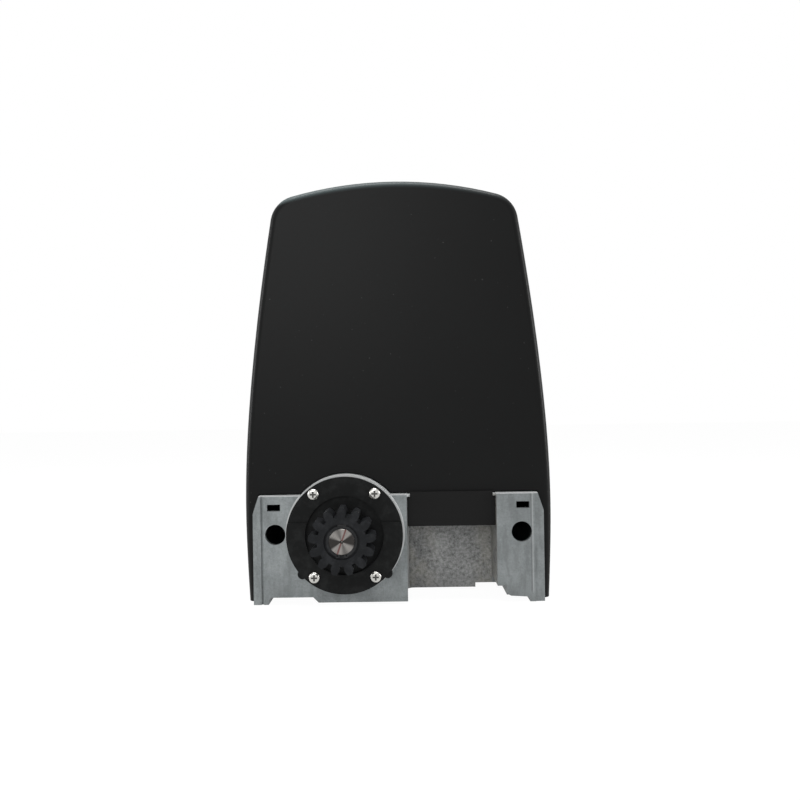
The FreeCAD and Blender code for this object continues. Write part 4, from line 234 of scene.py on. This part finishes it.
def zinc_plate(name, colour=(0.60, 0.60, 0.585), roughness=0.30):
    """Zinc-plated steel: bright, with cloudy passivation and fine handling marks."""
    zinc = Finish(name, Metallic=1.0)
    where = zinc.place()
    cloud = zinc.noise(where, 220.0, 4.0, 0.6)
    marks = zinc.step(zinc.noise(where, 1500.0, 2.0, 0.6), 0.58, 0.70)
    darker = tuple(c * 0.72 for c in colour)
    zinc.feed(Base_Color=zinc.mix(cloud, darker, colour), Roughness=roughness + marks * 0.22,
              Normal=zinc.bump(cloud, 0.10, 0.0002))
    return zinc


zinc_plate("levelling_screw_zinc").dress("levelling_screws")

# ---------------------------------------------------------------- cable grommet
# Soft black rubber bush pressed into the floor, for the supply cable.


def moulded_rubber(name, colour):
    """Matt rubber with a bloom and a little dust."""
    rubber = Finish(name, Specular_IOR_Level=0.25)
    where = rubber.place()
    bloom = rubber.noise(where, 90.0, 4.0, 0.6)
    pale = tuple(c * 1.9 + 0.008 for c in colour)
    rubber.feed(Base_Color=rubber.mix(rubber.step(bloom, 0.4, 0.75), colour, pale),
                Roughness=0.62 + bloom * 0.25, Normal=rubber.bump(bloom, 0.2, 0.0003))
    return rubber


moulded_rubber("grommet_rubber", (0.016, 0.016, 0.016)).dress("cable_grommet")

# ---------------------------------------------------------------- earth screw
# Brass cheese-head screw in the floor, for the earth wire.
zinc_plate("earth_screw_brass", (0.62, 0.44, 0.19), 0.32).dress("earth_screw")

# ---------------------------------------------------------------- worm shaft and its bearings
# Case-hardened steel worm cut on the motor's shaft, running in two sealed ball bearings below
# the motor and one in the end bell. Ground journals, oiled thread.


def turned_steel(name, axis, centre, colour=(0.52, 0.53, 0.54), roughness=0.30, pitch=900.0):
    """Turned steel: fine rings round an axis, slightly oily."""
    steel = Finish(name, Metallic=1.0)
    where = steel.place(centre)
    parts = steel.axes(where)
    along = parts.pop(axis)
    radius = parts[0].away(parts[1])
    wobble = steel.noise(where, 60.0, 3.0, 0.6)
    rings = ((along + radius) * (pitch * math.tau) + wobble * 5.0).wave()
    film = steel.noise(where, 170.0, 4.0, 0.55)
    darker = tuple(c * 0.68 for c in colour)
    steel.feed(Base_Color=steel.mix(film, darker, colour),
               Roughness=roughness + rings * 0.05 + film * 0.12,
               Normal=steel.bump(rings, 0.10, 0.00008))
    return steel


turned_steel("worm_steel", 2, worm_axis).dress("worm_shaft")


def bearing_steel(name, centre):
    """Ground bearing rings with a satin dished shield between them."""
    ring = Finish(name, Metallic=1.0)
    where = ring.place(centre)
    film = ring.noise(where, 260.0, 3.0, 0.5)
    fine = ring.noise(where, 1400.0, 2.0, 0.5)
    ring.feed(Base_Color=ring.mix(film, (0.47, 0.48, 0.50), (0.63, 0.64, 0.66)),
              Roughness=0.20 + film * 0.10 + fine * 0.06, Normal=ring.bump(fine, 0.08, 0.0001))
    return ring


bearing_steel("worm_bearing_steel", worm_axis).dress(
    "worm_bearing_lower", "worm_bearing_upper", "rotor_bearing_top")

# ---------------------------------------------------------------- output shaft and its bearings
# Turned steel shaft through the chamber in two sealed ball bearings. Its end shows in the pinion:
# bright, turned in fine rings, with a centre drilling and a red paint line across it; the turned
# face's sheen is painted on as bright and dark fans.
shaft_centre = (shaft_x, 0.0, shaft_z)
shaft = turned_steel("output_shaft_steel", 1, shaft_centre, (0.36, 0.35, 0.335), 0.26, 1500.0)
where = shaft.place(shaft_centre, (0.0, math.radians(70), 0.0))
across = shaft.axes(where)
flat_end = shaft.axes(shaft.add("ShaderNodeTexCoord", output="Object"))[1]
on_end = shaft.step(flat_end, shaft_end_y + 0.0005, shaft_end_y - 0.0005)
smear = shaft.noise(where, 900.0, 4.0, 0.7)
line = shaft.step(across[2].distance() + smear * 0.0006, 0.00125, 0.00075)
wear = shaft.step(shaft.noise(where, 420.0, 3.0, 0.6), 0.30, 0.42)
paint = line * wear * on_end
turned_colour = shaft.fed("Base Color")
turned_gloss = shaft.fed("Roughness")
# The turned end's sheen is painted by angle round the shaft: bright fans of painted reflection and
# dark fans of painted shade.
swing = across[2].angle(across[0])
sheen_sectors = (swing * 4.0 + 0.9).lobe() * 0.35 + (swing * 2.0 - 0.6).lobe() * 0.35 + 0.5
sheen = shaft.mix((sheen_sectors * on_end).clamped() * 0.8, turned_colour, (0.20, 0.185, 0.175))
shade = shaft.mix(shaft.step(sheen_sectors, 0.80, 0.20) * on_end * 0.94, sheen, (0.020, 0.018, 0.017))
shaft.feed(Base_Color=shaft.mix(paint * 0.9, shade, (0.100, 0.022, 0.018)),
           Metallic=1.0 - paint, Roughness=turned_gloss + paint * 0.25)
shaft.dress("output_shaft")
bearing_steel("output_bearing_steel", shaft_centre).dress(
    "output_bearing_rear", "output_bearing_front")

# ---------------------------------------------------------------- worm wheel, key and circlip
# Machined bronze wheel keyed to the shaft and held by a circlip; its teeth are wet with oil.
bronze = Finish("wheel_bronze", Metallic=1.0)
where = bronze.place(shaft_centre)
wx, _, wz = bronze.axes(where)
turning = (wx.away(wz) * 9000.0).wave()
oil = bronze.noise(where, 70.0, 4.0, 0.6)
bronze.feed(Base_Color=bronze.mix(oil, (0.30, 0.165, 0.050), (0.56, 0.35, 0.135)),
            Roughness=0.22 + oil * 0.22 + turning * 0.03,
            Normal=bronze.bump(turning, 0.10, 0.0001))
bronze.dress("worm_wheel")
turned_steel("key_steel", 1, shaft_centre, (0.42, 0.42, 0.43), 0.36, 300.0).dress("wheel_key")
turned_steel("pinion_key_steel", 1, shaft_centre, (0.10, 0.10, 0.10), 0.42, 300.0).dress(
    "pinion_key")


def blackened_steel(name, centre, colour=(0.022, 0.023, 0.024), gloss=0.42):
    """Oil-blackened steel: nearly black, worn a little greyer on its high spots."""
    black = Finish(name, Metallic=0.2, Specular_IOR_Level=0.12)
    where = black.place(centre)
    patches = black.noise(where, 130.0, 4.0, 0.65)
    pits = black.noise(where, 1100.0, 2.0, 0.5)
    greyer = tuple(c * 1.7 + 0.004 for c in colour)
    black.feed(Base_Color=black.mix(black.step(patches, 0.42, 0.72), colour, greyer),
               Roughness=gloss + patches * 0.16 + pits * 0.06,
               Normal=black.bump(pits, 0.12, 0.0002))
    return black


blackened_steel("circlip_steel", shaft_centre).dress("wheel_circlip", "pinion_circlip")

# ---------------------------------------------------------------- gearbox cover, gasket and screws
# Die-cast lid with a ribbed face over a fibre gasket, held by six socket head screws; a brass
# plug beside it closes the oil filler.


def sand_cast(name, colour):
    """Inner casting: shot-blasted aluminium, matt and even."""
    cast = Finish(name, Metallic=0.55, Specular_IOR_Level=0.4)
    where = cast.place()
    cloud = cast.noise(where, 30.0, 3.0, 0.5)
    blast = cast.noise(where, 1300.0, 2.0, 0.6)
    darker = tuple(c * 0.82 for c in colour)
    cast.feed(Base_Color=cast.mix(cloud, darker, colour), Roughness=0.50 + blast * 0.14,
              Normal=cast.bump(blast, 0.25, 0.0002))
    return cast


sand_cast("gearbox_cover_aluminium", (0.36, 0.37, 0.38)).dress("gearbox_cover")
fibre = Finish("gasket_fibre", Specular_IOR_Level=0.2)
flecks = fibre.noise(fibre.place(), 700.0, 4.0, 0.7)
fibre.feed(Base_Color=fibre.mix(flecks, (0.045, 0.060, 0.050), (0.11, 0.135, 0.115)),
           Roughness=0.75 + flecks * 0.15)
fibre.dress("gearbox_gasket")
zinc_plate("gearbox_screw_zinc", (0.50, 0.50, 0.50), 0.36).dress("gearbox_cover_screws")
zinc_plate("oil_plug_brass", (0.60, 0.43, 0.19), 0.34).dress("oil_plug")

# ---------------------------------------------------------------- output flange, seal and screws
# Black-painted steel disc over the rear bearing with the rubber lip seal in its middle, held by
# four bright pan-head screws with cross recesses.
blackened_steel("flange_paint", shaft_centre, (0.0060, 0.0064, 0.0064), 0.46).dress(
    "output_flange")
moulded_rubber("seal_rubber", (0.013, 0.013, 0.013)).dress("shaft_seal")
screw_low, screw_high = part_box("flange_screws")
pan_zinc = zinc_plate("flange_screw_zinc", (0.62, 0.61, 0.58), 0.24)
head_radius = 0.0054
middle = ((screw_low[0] + screw_high[0]) / 2, 0.0, (screw_low[2] + screw_high[2]) / 2)
sideways, _, upwards = pan_zinc.axes(pan_zinc.place(middle))
arm_x = (sideways.distance() - ((screw_high[0] - screw_low[0]) / 2 - head_radius)).distance()
arm_z = (upwards.distance() - ((screw_high[2] - screw_low[2]) / 2 - head_radius)).distance()
narrow = arm_x.math("MINIMUM", arm_x, arm_z)
reach = arm_x.math("MAXIMUM", arm_x, arm_z)
# The cross recesses are painted in as dark crosses: painted shade in the hollows.
recess_shade = pan_zinc.step(narrow, 0.00095, 0.00070) * pan_zinc.step(reach, 0.0031, 0.0027)
pan_zinc.feed(Base_Color=pan_zinc.mix(recess_shade * 0.9, pan_zinc.fed("Base Color"),
                                      (0.030, 0.030, 0.028)))
pan_zinc.dress("flange_screws")

# ---------------------------------------------------------------- pinion
# Hobbed 13-tooth steel pinion on the shaft's end, blackened and oiled.
blackened_steel("pinion_black", shaft_centre, (0.0100, 0.0108, 0.0120), 0.40).dress("pinion")

# ---------------------------------------------------------------- motor
# Induction motor standing on the gear chamber: bare laminated core, varnished copper end turns,
# a cast flange and end bell, four through bolts, and the cast-cage rotor on the worm's shaft.
sand_cast("motor_end_aluminium", (0.40, 0.41, 0.42)).dress("motor_flange", "motor_end_bell")


sheet_pitch = 0.0010


def laminations(name, axis, colour):
    """Stack of punched sheets, edges dark with varnish and a trace of rust."""
    stack = Finish(name, Metallic=0.7)
    where = stack.place()
    along = stack.axes(where)[axis]
    sheets = (along * (math.tau / sheet_pitch)).wave()
    varnish = stack.noise(where, 55.0, 4.0, 0.6)
    tarnish = stack.mix(varnish, tuple(c * 0.55 for c in colour), colour)
    stack.feed(Base_Color=stack.mix(stack.step(varnish, 0.60, 0.78) * 0.4, tarnish,
                                    (0.16, 0.075, 0.035)),
               Roughness=0.42 + varnish * 0.2, Normal=stack.bump(sheets, 0.5, 0.00025))
    return stack


laminations("stator_sheets", 2, (0.20, 0.21, 0.225)).dress("stator_core")
laminations("rotor_sheets", 2, (0.30, 0.31, 0.32)).dress("rotor_core")
winding = Finish("winding_wire", Metallic=0.6, Coat_Weight=0.5)
where = winding.place(worm_axis)
ux, uy, uz = winding.axes(where)
strand = ((ux.away(uy) + uz * 0.6) * 7400.0 + winding.noise(where, 90.0, 2.0, 0.5) * 9.0).wave()
lacing = winding.step((uy.angle(ux) * 14.0).wave(), 0.93, 0.98)
copper = winding.mix(strand * 0.5 + 0.5, (0.16, 0.045, 0.015), (0.50, 0.20, 0.075))
winding.feed(Base_Color=winding.mix(lacing, copper, (0.55, 0.50, 0.40)),
             Roughness=0.30 + lacing * 0.4, Normal=winding.bump(strand + lacing, 0.5, 0.0004))
winding.dress("stator_windings")
zinc_plate("tie_bolt_zinc", (0.55, 0.55, 0.52), 0.34).dress("motor_tie_bolts")

# ---------------------------------------------------------------- run capacitor and its cup
# White moulded can with two tab terminals, standing in a screwed-down plastic cup.


def moulded(name, colour, gloss, grain=0.15):
    """Injection-moulded plastic: fine spark-eroded grain and a slow change of tone."""
    plastic = Finish(name, Specular_IOR_Level=0.16)
    where = plastic.place()
    tone = plastic.noise(where, 25.0, 2.0, 0.5)
    pores = plastic.noise(where, 1600.0, 2.0, 0.55)
    lighter = tuple(c * 1.25 + 0.002 for c in colour)
    plastic.feed(Base_Color=plastic.mix(tone, colour, lighter), Roughness=gloss + pores * 0.14,
                 Normal=plastic.bump(pores, grain, 0.00015))
    return plastic


moulded("capacitor_plastic", (0.52, 0.52, 0.50), 0.32).dress("run_capacitor")
moulded("capacitor_cup_plastic", (0.03, 0.03, 0.032), 0.45).dress("capacitor_cup")

# ---------------------------------------------------------------- board carrier
# Dark grey glass-filled moulding that stands on the motor and holds the transformer and the
# control board, with four screws down into its legs.
moulded("carrier_plastic", (0.034, 0.035, 0.037), 0.48, 0.25).dress("board_carrier")
zinc_plate("carrier_screw_zinc").dress("carrier_screws")

# ---------------------------------------------------------------- transformer
# Laminated iron core with its coil wrapped in yellow polyester tape.
laminations("transformer_sheets", 1, (0.16, 0.165, 0.17)).dress("transformer_core")
tape = Finish("coil_tape", Coat_Weight=0.3)
where = tape.place()
height = tape.axes(where)[2]
tape_width = 0.0095
wraps = (height * (math.tau / tape_width)).wave()
crease = tape.noise(where, 180.0, 3.0, 0.6)
tape.feed(Base_Color=tape.mix(tape.step(wraps + crease * 0.3, 0.75, 0.95), (0.58, 0.40, 0.055),
                              (0.34, 0.22, 0.030)),
          Roughness=0.28 + crease * 0.15, Normal=tape.bump(wraps * 0.4 + crease, 0.3, 0.0004))
tape.dress("transformer_coil")

# ---------------------------------------------------------------- control board and its parts
# Green solder-masked laminate with plug-in terminals, relays, filter capacitors, a processor, a
# glass fuse and a plug-in radio receiver, screwed to the carrier.


pad_pitch = 0.00254


def circuit_board(name, centre):
    """Solder mask over copper tracks, with tinned pads in a grid."""
    board = Finish(name, Specular_IOR_Level=0.5)
    where = board.place(centre)
    bx, _, bz = board.axes(where)
    tracks = board.add("ShaderNodeTexBrick", {"offset": 0.37, "squash": 1.0},
                       {"Vector": board.add("ShaderNodeCombineXYZ", {}, {0: bx, 1: bz}),
                        "Scale": 1.0, "Mortar Size": 0.00045, "Brick Width": 0.0135,
                        "Row Height": 0.0042}, "Fac")
    copper_shade = board.mix(tracks * 0.8, (0.010, 0.115, 0.040), (0.020, 0.200, 0.075))
    column = (bx * (math.tau / pad_pitch)).wave()
    row = (bz * (math.tau / (2 * pad_pitch))).wave()
    sparse = board.step(board.noise(where, 45.0, 1.0, 0.5), 0.50, 0.56)
    pads = board.step(column * row, 0.80, 0.92) * sparse
    board.feed(Base_Color=board.mix(pads, copper_shade, (0.55, 0.54, 0.50)),
               Metallic=pads * 0.9, Roughness=0.34 - pads * 0.08,
               Normal=board.bump(tracks * 0.6 + pads, 0.3, 0.0001))
    return board


circuit_board("control_board_laminate", (0.0, 0.0446, 0.311)).dress("control_board")
circuit_board("receiver_laminate", (0.060, 0.050, 0.32)).dress("radio_receiver")
zinc_plate("board_screw_zinc").dress("board_screws")
moulded("terminal_plastic", (0.030, 0.20, 0.060), 0.40).dress("terminal_blocks")
moulded("relay_plastic", (0.020, 0.075, 0.30), 0.25).dress("relays")
sleeve = Finish("filter_capacitor_sleeve", Specular_IOR_Level=0.5)
where = sleeve.place()
depth = sleeve.axes(where)[1]
can_end_y = 0.0612
cap = sleeve.step(depth, can_end_y - 0.0001, can_end_y + 0.0001)
scuff = sleeve.noise(where, 300.0, 3.0, 0.6)
sleeve.feed(Base_Color=sleeve.mix(cap, (0.012, 0.013, 0.020), (0.55, 0.55, 0.56)), Metallic=cap,
            Roughness=0.26 + scuff * 0.15)
sleeve.dress("filter_capacitors")
chip = Finish("processor_plastic")
where = chip.place()
edge = chip.axes(where)[2]
chip_z = 0.313
chip_half = 0.0070
legs = chip.step((edge - chip_z).distance(), chip_half + 0.00002, chip_half + 0.00006)
dust = chip.noise(where, 1200.0, 2.0, 0.5)
chip.feed(Base_Color=chip.mix(legs, (0.012, 0.012, 0.013), (0.55, 0.55, 0.54)), Metallic=legs,
          Roughness=0.50 + dust * 0.18 - legs * 0.2)
chip.dress("processor_chip")
glass = Finish("fuse_glass", Specular_IOR_Level=0.6)
where = glass.place()
fx = glass.axes(where)[0]
fuse_x = -0.048
glass_half = 0.0050
ends = glass.step((fx - fuse_x).distance(), glass_half, glass_half + 0.0002)
clear = glass.noise(where, 500.0, 2.0, 0.5)
glass.feed(Base_Color=glass.mix(ends, (0.30, 0.36, 0.37), (0.60, 0.60, 0.58)), Metallic=ends,
           Roughness=0.08 + clear * 0.06 + ends * 0.15)
glass.dress("fuse")

# ---------------------------------------------------------------- limit sensor panel
# Fine-textured black plastic plate across the top of the recess. The sensor board hangs behind
# it on two posts, where the magnets on the rack can reach it.
moulded("panel_plastic", (0.0030, 0.0030, 0.0030), 0.58, 0.3).dress("limit_panel")
circuit_board("sensor_board_laminate", (0.052, -0.084, 0.085)).dress("limit_sensor_board")
moulded("sensor_plastic", (0.02, 0.02, 0.022), 0.35).dress("limit_sensors")
zinc_plate("panel_screw_zinc").dress("panel_screws")

# ---------------------------------------------------------------- manual release
# Dark grey moulded housing on the base's front wall, with a folding lever on a steel pin. A key
# lock in the lever's end holds it shut; opened, its cam pushes the plunger into the shaft.
moulded("housing_plastic", (0.030, 0.031, 0.033), 0.46, 0.3).dress("release_housing")
zinc_plate("housing_screw_zinc").dress("housing_screws")
moulded("lever_plastic", (0.075, 0.077, 0.080), 0.42, 0.3).dress("release_lever")
turned_steel("lever_pin_steel", 2, (-0.050, 0.096, 0.064)).dress("lever_pin")
zinc_plate("lock_zinc", (0.62, 0.61, 0.58), 0.20).dress("lock_cylinder")
turned_steel("plunger_steel", 1, shaft_centre).dress("release_plunger")

# ---------------------------------------------------------------- cover
# Tall one-piece cover of satin black plastic, pulled down over the base and held at the foot by
# two captive screws. A lighter teal band along its top arch is a painted highlight, and its flat
# face holds a little dust.
cover_low, cover_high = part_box("cover")
cover = Finish("cover_plastic", Specular_IOR_Level=0.10)
where = cover.place()
cx, cy, cz = cover.axes(where)
tone = cover.noise(where, 9.0, 2.0, 0.5)
pores = cover.noise(where, 2600.0, 2.0, 0.5)
motes = cover.step(cover.noise(where, 330.0, 2.0, 0.4), 0.735, 0.76)
arch_bend = 1.32
arch = cz + cx * cx * arch_bend - cover_high[2]
# A lighter teal band along the top arch is painted: a painted highlight where the top fillet
# catches light from above.
top_highlight_band = cover.step(arch, -0.0078, -0.0030) * \
    cover.step(cy, cover_low[1] + 0.009, cover_low[1] + 0.005)
face = cover.mix(tone, (0.0048, 0.0050, 0.0050), (0.0066, 0.0068, 0.0068))
painted_top_highlight = cover.mix(top_highlight_band * cover.step(cx, 0.16, -0.10), face, (0.070, 0.088, 0.090))
cover.feed(Base_Color=cover.mix(motes * 0.35, painted_top_highlight, (0.10, 0.10, 0.10)),
           Roughness=0.30 + tone * 0.06 + pores * 0.05, Normal=cover.bump(pores, 0.06, 0.00006))
cover.dress("cover")
zinc_plate("cover_screw_zinc").dress("cover_screws", "cover_nuts")

# ---------------------------------------------------------------- studio
# Pale seamless floor and white surroundings; soft lamps above, in front and at both sides.
floor = bmesh.new()
bmesh.ops.create_grid(floor, x_segments=1, y_segments=1, size=6.0)
floor_mesh = bpy.data.meshes.new("studio_floor")
floor.to_mesh(floor_mesh)
floor.free()
studio_floor = bpy.data.objects.new("studio_floor", floor_mesh)
floor_gap = 0.0005
studio_floor.location.z = -floor_gap
bpy.context.scene.collection.objects.link(studio_floor)
paper = Finish("studio_paper", Roughness=0.9, Specular_IOR_Level=0.0)
paper.shader.inputs["Base Color"].default_value = (0.86, 0.86, 0.86, 1.0)
seen_straight = paper.add("ShaderNodeLightPath", output="Is Camera Ray")
seen_in_metal = paper.add("ShaderNodeLightPath", output="Is Glossy Ray")
seen_in_glass = paper.add("ShaderNodeLightPath", output="Is Transmission Ray")
glow = paper.add("ShaderNodeEmission", {}, {"Color": (1.0, 1.0, 1.0, 1.0), "Strength": 1.05})
sheet = Signal(paper, paper.shader.outputs[0])
seen = paper.add("ShaderNodeMixShader", {}, {
    0: (seen_straight + seen_in_metal + seen_in_glass).clamped() * 0.92, 1: sheet, 2: glow})
paper.links.new(seen.socket, paper.nodes["Material Output"].inputs["Surface"])
floor_mesh.materials.append(paper.material)

surroundings = bpy.data.worlds.new("surroundings")
bpy.context.scene.world = surroundings
surroundings.use_nodes = True
sky = surroundings.node_tree
rays = sky.nodes.new("ShaderNodeLightPath")
seen_directly = rays.outputs["Is Camera Ray"]
for ray in ("Is Glossy Ray", "Is Transmission Ray"):
    either = sky.nodes.new("ShaderNodeMath")
    either.operation = "MAXIMUM"
    sky.links.new(seen_directly, either.inputs[0])
    sky.links.new(rays.outputs[ray], either.inputs[1])
    seen_directly = either.outputs[0]
sky_light = 0.31
sky_white = 1.0
level = sky.nodes.new("ShaderNodeMapRange")
level.inputs[3].default_value = sky_light
level.inputs[4].default_value = sky_white
sky.links.new(seen_directly, level.inputs[0])
sky.nodes["Background"].inputs["Color"].default_value = (1.0, 1.0, 1.0, 1.0)
sky.links.new(level.outputs[0], sky.nodes["Background"].inputs["Strength"])


def soft_lamp(name, place, aim, power, width, height):
    lamp = bpy.data.lights.new(name, "AREA")
    lamp.shape = "RECTANGLE"
    lamp.size = width
    lamp.size_y = height
    lamp.energy = power
    holder = bpy.data.objects.new(name, lamp)
    holder.location = place
    holder.rotation_euler = (Vector(aim) - Vector(place)).to_track_quat("-Z", "Y").to_euler()
    holder.visible_camera = False
    bpy.context.scene.collection.objects.link(holder)


soft_lamp("lamp_above", (0.0, -0.10, 1.8), (0.0, -0.05, 0.3), 30.0, 1.2, 0.7)
soft_lamp("lamp_front", (-0.40, -1.8, 0.80), (0.0, 0.0, 0.10), 8.5, 0.9, 0.9)
soft_lamp("lamp_left", (-1.6, -0.15, 0.45), (0.0, -0.1, 0.25), 9.0, 0.35, 0.7)
soft_lamp("lamp_right", (1.6, -0.15, 0.45), (0.0, -0.1, 0.25), 10.0, 0.35, 0.7)

# ---------------------------------------------------------------- camera
# Level with the middle of the part, a metre from the gate side.
camera = bpy.data.objects.new("camera", bpy.data.cameras.new("camera"))
camera.data.lens = 41.05
camera.data.sensor_width = 36.0
camera.data.clip_start = 0.01
camera.location = (0.007, -0.958, 0.189)
camera.rotation_euler = (math.radians(90.13), math.radians(0.85), math.radians(0.25))
bpy.context.scene.collection.objects.link(camera)
bpy.context.scene.camera = camera
bpy.context.scene.view_settings.view_transform = "Standard"
